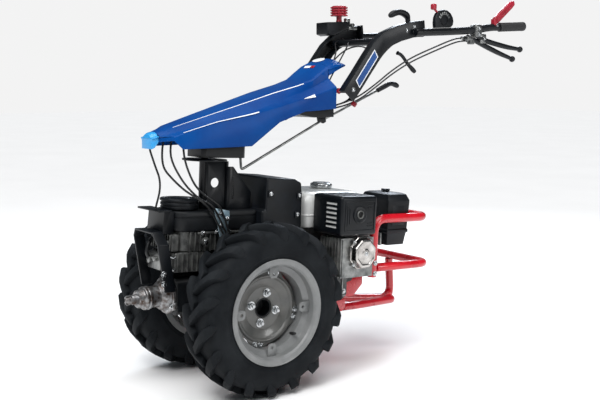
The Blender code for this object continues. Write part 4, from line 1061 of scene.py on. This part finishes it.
# %% Grips: ribbed rubber with a closed, rounded end
def grip(side):
    """The grip on one side, drawn along Z and then laid on its tube's end."""
    a = Vector((side * 0.25, 1.0753, 1.223))
    b = Vector((side * 0.2713, 1.1949, 1.2295))
    line = (b - a).normalized()
    length = (b - a).length
    outline = mm([(0, 0), (0, 16.5), (1, 17.4), (5, 17.5), (6, 16)])
    ribs = 18
    for k in range(ribs):
        start = 0.008 + (length - 0.026) * k / ribs
        step = (length - 0.026) / ribs
        outline += [(start, 0.016), (start + step * 0.25, 0.017), (start + step * 0.7, 0.017),
                    (start + step * 0.95, 0.016)]
    outline += [(length - 0.016, 0.0172), (length - 0.006, 0.0174), (length - 0.002, 0.0165), (length, 0.013),
                (length, 0.0)]
    piece = lathe(outline, "Z", (0, 0, 0), 32)
    turn = line.to_track_quat("Z", "Y").to_matrix().to_4x4()
    piece.data.transform(Matrix.Translation(a) @ turn)
    return piece


stand_in(grip(1), "grip_left", GRIP_RUBBER, smooth=50)
stand_in(grip(-1), "grip_right", GRIP_RUBBER, smooth=50)

# %% Bolts and blank labels on the arms
ARM_OUTSIDE = 0.156


def arm_x(y):
    """Outer face of an arm, which flares behind 0.588."""
    return ARM_OUTSIDE + max(y - 0.588, 0.0) * 0.185


def decal(side, inset, depth):
    """A long blank label on an arm's slope, inset from its outline."""
    a, b = Vector((0.442, 1.003)), Vector((0.529, 1.112))
    along = (b - a).normalized()
    up = Vector((-along.y, along.x))
    a, b = a + along * inset, b - along * inset
    half = 0.015 - inset
    corners = [a - up * half, b - up * half, b + up * half + along * 0.01, a + up * half + along * 0.01]
    x0, x1 = sorted((side * (ARM_OUTSIDE - 0.0006), side * (ARM_OUTSIDE + depth)))
    return prism([tuple(c) for c in corners], "X", x0, x1)


ARM_BOLTS = mm([(668, 1200), (699, 1212), (700, 1194), (426, 988)])
arm_bolts = [bolts([(side * arm_x(y), y, z) for y, z in ARM_BOLTS], (side, 0, 0), across=0.01, height=0.004)
             for side in (1, -1)]
mount(joined(arm_bolts), "arm_bolts", "handlebar", ZINC)
for side, tag in ((1, "left"), (-1, "right")):
    mount(decal(side, 0.0, 0.0004), f"arm_label_edge_{tag}", "handlebar", WHITE_DECAL_AND_HIGHLIGHT)
    mount(decal(side, 0.0036, 0.0007), f"arm_label_{tag}", "handlebar", BLUE_VINYL)


# %% Hand levers: a flat blade that swells into a ball end
BLADE_R, BALL_R = 0.0078, 0.0118


def hand_lever(points):
    """A lever along the points, thickest half way, with a ball at its end."""
    route = flowing(points, 6)
    fat = [0.9 + 0.35 * math.sin(math.pi * k / (len(route) - 1)) for k in range(len(route))]
    lever = bar(route, BLADE_R, 16, fat)
    bpy.ops.object.select_all(action="DESELECT")
    bpy.ops.mesh.primitive_uv_sphere_add(segments=28, ring_count=16, radius=BALL_R, location=points[-1])
    bpy.ops.object.transform_apply(location=True)
    return joined([lever, bpy.context.object])


HAND_LEVERS = {"hand_lever_upper": [(233, 962, 1189), (238, 1020, 1170), (247, 1120, 1151), (252.5, 1198, 1142.5)],
               "hand_lever_lower": [(223, 928, 1186), (227, 990, 1163), (235, 1080, 1131), (243.5, 1165, 1105)]}
for node, points in HAND_LEVERS.items():
    stand_in(hand_lever(mm(points)), node, BLACK_ABS, smooth=60)

# %% Lever clamps: cast aluminium perches under the tube
clamps = [brick((214, 248), (950, 985), (1183, 1229), 6, 3),
          brick((218, 242), (985, 1016), (1160, 1196), 5, 3),
          brick((208, 238), (915, 945), (1170, 1186), 4, 3),
          brick((212, 232), (938, 962), (1156, 1190), 4, 3),
          pin((212, 905, 1179), (216, 925, 1178), 6, 18, 1.2),
          pin((220, 945, 1170), (218, 930, 1169), 5.5, 18, 1.2)]
mount(joined(clamps), "lever_clamps", "handlebar", ALUMINIUM)
clamp_bolts = bolts(mm([(248, 967, 1215), (248, 967, 1193), (242.5, 1002, 1178)]), (1, 0, 0), across=0.01,
                    height=0.005)
mount(clamp_bolts, "lever_clamp_bolts", "handlebar", ZINC)

# %% Safety lever: a red paddle with a web, hinged on a collar
SAFETY = mm([(1048, 1242), (1068, 1238), (1078, 1244), (1092, 1255), (1148, 1297), (1163, 1311), (1158, 1326),
             (1140, 1323), (1084, 1282), (1060, 1264), (1048, 1258)])
paddle = eased(prism(SAFETY, "X", 0.2375, 0.2535), 0.004, 3)
SAFETY_HOLLOW = mm([(1090, 1265), (1140, 1302), (1143, 1312), (1090, 1273)])
cut(paddle, eased(prism(SAFETY_HOLLOW, "X", 0.2515, 0.26), 0.001, 1))
collar = pin((234, 1056, 1229), (258, 1058, 1229.5), 10.5, 28, 2)
arm_up = brick((236, 256), (1042, 1062), (1222, 1254), 4, 3)
stand_in(joined([paddle, collar, arm_up]), "safety_lever", RED_ABS, smooth=30)
mount(bolts([(0.258, 1.057, 1.2292)], (1, 0, 0), across=0.01, height=0.003), "safety_lever_pin", "handlebar", ZINC)

# %% Selector lever, speed quadrant and their small red knobs
selector_route = flowing(mm([(135.4, 700, 1205), (135.4, 705, 1235), (135, 698, 1256), (133, 672, 1266),
                             (130, 645, 1263), (128, 620, 1252)]), 5)
selector_fat = [0.9] * 8 + [1.0, 1.1, 1.15, 1.15, 1.15, 1.12, 1.08, 1.05, 1.03, 1.02, 1.02, 1.05, 1.08, 1.1, 1.1, 1.05,
                            0.9, 0.7]
stand_in(bar(selector_route, 0.0108, 20, selector_fat), "selector_lever", BLACK_ABS, smooth=60)
QUADRANT = mm([(770, 1210.7), (850, 1215.4), (861, 1224), (864, 1238), (860, 1253), (848, 1267), (831, 1276),
               (812, 1278), (793, 1274), (778, 1263), (770, 1248), (768, 1230)])
quadrant = eased(prism(QUADRANT, "X", 0.196, 0.214), 0.0035, 3)
ring = lathe(mm([(213.5, 15), (216, 15.5), (216, 20), (213.5, 20.5)]), "X", (0.0, 0.814, 1.24), 36)
stand_in(joined([quadrant, ring]), "speed_quadrant", BLACK_ABS, smooth=30)
teeth = [spun(block((0.2135, 0.2162), (0.02, 0.03), (-0.0035, 0.0035)), (0, 0.814, 1.24),
              math.radians(25 + 22 * k), "X") for k in range(7)]
mount(eased(joined(teeth), 0.0008, 1), "quadrant_teeth", "handlebar", ALUMINIUM)
speed_stick = bar(flowing(mm([(206, 812, 1242), (204, 790, 1264), (200, 774, 1280)]), 4), 0.0042, 14)
speed_knob = brick((190, 208), (762, 782), (1276, 1298), 5.5, 3)
mount(joined([speed_stick, speed_knob]), "speed_knob", "handlebar", RED_ABS)

# %% Far control box with the ribbed knob
dress("control_box", BLACK_ABS, 0.003, 3)
KNOB = mm([(1245.6, 0), (1245.6, 11.8), (1256, 10), (1266, 11)])
for k in range(4):
    base = 1.266 + 0.0096 * k
    KNOB += [(base + 0.001, 0.033), (base + 0.0062, 0.0335), (base + 0.0068, 0.027), (base + 0.0094, 0.027)]
KNOB += [(1.305, 0.025), (1.306, 0.0)]
knob = lathe(KNOB, "Z", (-0.15, 0.616, 0.0), 40)
gaps = [spun(block((0.0285, 0.04), (-0.003, 0.003), (1.265, 1.31)), (-0.15, 0.616, 0), 2 * math.pi * k / 8, "Z")
        for k in range(8)]
cut(knob, joined(gaps))
stand_in(eased(knob, 0.0008, 1), "ribbed_knob", RED_ABS, smooth=30)
linkage = [brick((-160, -128), (648, 690), (1216, 1230), 3),
           pin((-160, 665, 1233), (-122, 665, 1233), 8, 20, 1.5),
           brick((-152, -136), (640, 662), (1225, 1260), 3)]
mount(joined(linkage), "far_linkage", "handlebar", ALUMINIUM)

# %% [markdown]
# The control cables are PVC-sheathed bowdens about 6 mm thick. Four hang in front of the column between the cover
# and the machine. The rest run from the cover's tail along the handlebar. None of them rides on a body.
# Both ends of each go into the machine, so none is a free cord.
# %% Cables in front of the column
SIDE_X = 0.0931
FRONT_CABLES = {
    "cable_long": [(0.028, -0.249, 0.854), (0.03, -0.262, 0.8), (0.042, -0.265, 0.749), (0.06, -0.248, 0.714),
                   (0.08, -0.21, 0.672), (SIDE_X + 0.004, -0.16, 0.635), (SIDE_X + 0.003, -0.125, 0.6),
                   (SIDE_X, -0.1, 0.56), (SIDE_X, -0.072, 0.51)],
    "cable_middle": [(0.046, -0.233, 0.8585), (0.055, -0.245, 0.78), (0.07, -0.215, 0.705), (0.086, -0.17, 0.65),
                     (SIDE_X + 0.004, -0.125, 0.62), (SIDE_X + 0.002, -0.098, 0.585), (SIDE_X, -0.06, 0.51)],
    "cable_short": [(0.038, -0.19, 0.8778), (0.06, -0.2, 0.78), (0.072, -0.18, 0.705), (0.084, -0.15, 0.66),
                    (SIDE_X + 0.004, -0.1, 0.62), (SIDE_X + 0.002, -0.08, 0.59), (SIDE_X, -0.048, 0.51)],
    "cable_front": mm([(0, -290, 807.8), (4, -290, 795), (16, -280, 748), (26, -272, 710), (26, -272, 670),
                       (20, -284, 616.5)])}
for node, route in FRONT_CABLES.items():
    cable = bar(flowing(route, 5), 0.0034, 12)
    low_end, high_end = Vector(route[-1]), Vector(route[0])
    low_end.xy = high_end.xy = (low_end.xy + high_end.xy) / 2
    mount_between(cable, node + "_finished",
                  SHEATH, (node,))

# %% Cables on the handlebar
# Radius and route of each, in millimetres, from the controls down to the cover's tail.
BAR_CABLES = {
    "clutch_cable": (3, [(214, 905, 1179), (206, 870, 1172), (190, 800, 1146), (166, 700, 1104), (148, 620, 1058),
                         (134, 550, 1008), (118, 490, 968), (100, 440, 945), (70, 400, 930)]),
    "brake_cable": (3, [(218, 930, 1169), (210, 880, 1162), (190, 800, 1132), (166, 700, 1090), (150, 620, 1046),
                        (136, 550, 998), (122, 490, 958), (104, 440, 935), (76, 400, 922)]),
    "throttle_cable": (3, [(120, 690, 1168), (124, 640, 1150), (122, 590, 1110), (118, 540, 1048), (112, 490, 990),
                           (100, 445, 950), (80, 400, 930)]),
    "selector_cable_0": (2.8, [(-122, 610, 1180), (-90, 600, 1165), (-30, 560, 1158), (10, 505, 1120),
                               (12, 455, 1050), (4, 420, 985)]),
    "selector_cable_1": (2.8, [(-122, 590, 1170), (-80, 540, 1158), (-30, 500, 1120), (-12, 460, 1060),
                               (-10, 425, 985)]),
    "selector_cable_2": (2.8, [(118, 560, 1110), (80, 530, 1142), (20, 500, 1128), (-20, 462, 1070),
                               (-30, 430, 985)])}
for name, (radius, route) in BAR_CABLES.items():
    radius, route = mm(radius), mm(route)
    mount_between(bar(flowing(route), radius, 12), name, SHEATH)

# %% Reverser trigger and the height lock's knobs
hanging = bar(flowing(mm([(150, 640, 1120), (151, 662, 1110), (154, 690, 1080), (158, 722, 1052)]), 5), 0.007, 16,
              [1.1, 1.0, 0.9, 0.9, 0.9, 0.9, 0.9, 0.9, 0.9, 0.9, 0.95, 1.0, 1.1, 1.2, 1.2, 1.0])
mount(hanging, "reverser_trigger", "handlebar", BLACK_ABS, smooth=60)
red_knobs = [pin((90, 410, 978), (104, 414, 990), 8.5, 20, 3, 3),
             pin((118, 452, 942), (130, 462, 932), 8.5, 20, 3, 3)]
mount(joined(red_knobs), "height_lock_knobs", "handlebar", RED_ABS)

# %% [markdown]
# The studio: a pale floor that runs out of sight, a wide soft light overhead, one large soft lamp high in front, one
# on the near side for the tyre, and a low one behind for the rims. The camera sees a bright backdrop, while the
# machine reflects a dim sky, so that black paint stays black.
# The camera stands where a photographer would, a little in front of the near wheel and at the height of the tank.
# %% Floor
floor_z = tyre_low.z
bpy.ops.mesh.primitive_plane_add(size=60.0, location=(0.0, AXLE.y, floor_z - 0.0005))
floor = bpy.context.object
floor.name = "studio_floor"
floor_paint = finish("matt_white_floor", "#f0f0f0", "#f3f3f3", 0.9, patch_mm=900, grain_mm=8, depth_mm=0.02)
floor.data.materials.append(floor_paint)
print("floor at", round(floor_z, 3))

# %% Sky and lamps
world = bpy.data.worlds.new("studio_sky")
bpy.context.scene.world = world
world.use_nodes = True
sky = world.node_tree.nodes["Background"]
sky.inputs["Color"].default_value = colour("#dfe8f2")
sky.inputs["Strength"].default_value = 0.12
backdrop = add_node(world.node_tree, "ShaderNodeBackground", {"Color": colour("#fbfbfb"), "Strength": 0.93})
seen = add_node(world.node_tree, "ShaderNodeLightPath")
mixed = add_node(world.node_tree, "ShaderNodeMixShader", {}, {"Fac": seen.outputs["Is Camera Ray"]})
world.node_tree.links.new(sky.outputs[0], mixed.inputs[1])
world.node_tree.links.new(backdrop.outputs[0], mixed.inputs[2])
world.node_tree.links.new(mixed.outputs[0], world.node_tree.nodes["World Output"].inputs["Surface"])


def lamp(name, place, target, size, power, tint="#ffffff"):
    """A square soft lamp aimed at target."""
    bpy.ops.object.light_add(type="AREA", location=place)
    light = bpy.context.object
    light.name = name
    light.data.size = size
    light.data.energy = power
    light.data.color = colour(tint)[:3]
    light.rotation_euler = (Vector(target) - Vector(place)).to_track_quat("-Z", "Y").to_euler()
    return light


middle = (cad_low + cad_high) / 2
lamp("key_soft_box", middle + Vector((1.4, -2.6, 2.6)), middle, 1.2, 70)
lamp("near_side_strip", middle + Vector((3.2, 1.2, 1.0)), middle, 0.9, 26)
lamp("rear_rim_lamp", middle + Vector((-1.8, 2.4, 1.8)), middle, 1.0, 50, "#eaf3ff")
bpy.ops.object.light_add(type="SUN", location=middle + Vector((0.0, 0.0, 4.0)))
overhead = bpy.context.object
overhead.name = "overhead_soft_light"
overhead.data.energy = 3.2
overhead.data.angle = math.radians(70)
overhead.rotation_euler = (math.radians(14), math.radians(10), 0.0)

print(len(bpy.data.lights), "lamps")

# %% Camera
VIEW_AZIMUTH, VIEW_PITCH = 0.914, 0.126
CAMERA_PLACE = Vector((2.546, -1.652, 1.001))
back = Vector((math.sin(VIEW_AZIMUTH) * math.cos(VIEW_PITCH), -math.cos(VIEW_AZIMUTH) * math.cos(VIEW_PITCH),
               math.sin(VIEW_PITCH)))
bpy.ops.object.camera_add(location=GROUND @ CAMERA_PLACE)
camera = bpy.context.object
camera.rotation_mode = "QUATERNION"
camera.rotation_quaternion = (-back).to_track_quat("-Z", "Y")
camera.data.sensor_width = 36.0
camera.data.lens = 54.0
camera.data.clip_end = 100.0
bpy.context.scene.camera = camera
bpy.context.scene.view_settings.view_transform = "Standard"
print("camera at", [round(v, 3) for v in camera.location])

# %% Measure and finish
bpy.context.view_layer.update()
faces = sum(len(bpy.data.objects[name].data.polygons) for name in made_pieces)
print(len(made_pieces), "pieces,", faces, "faces")
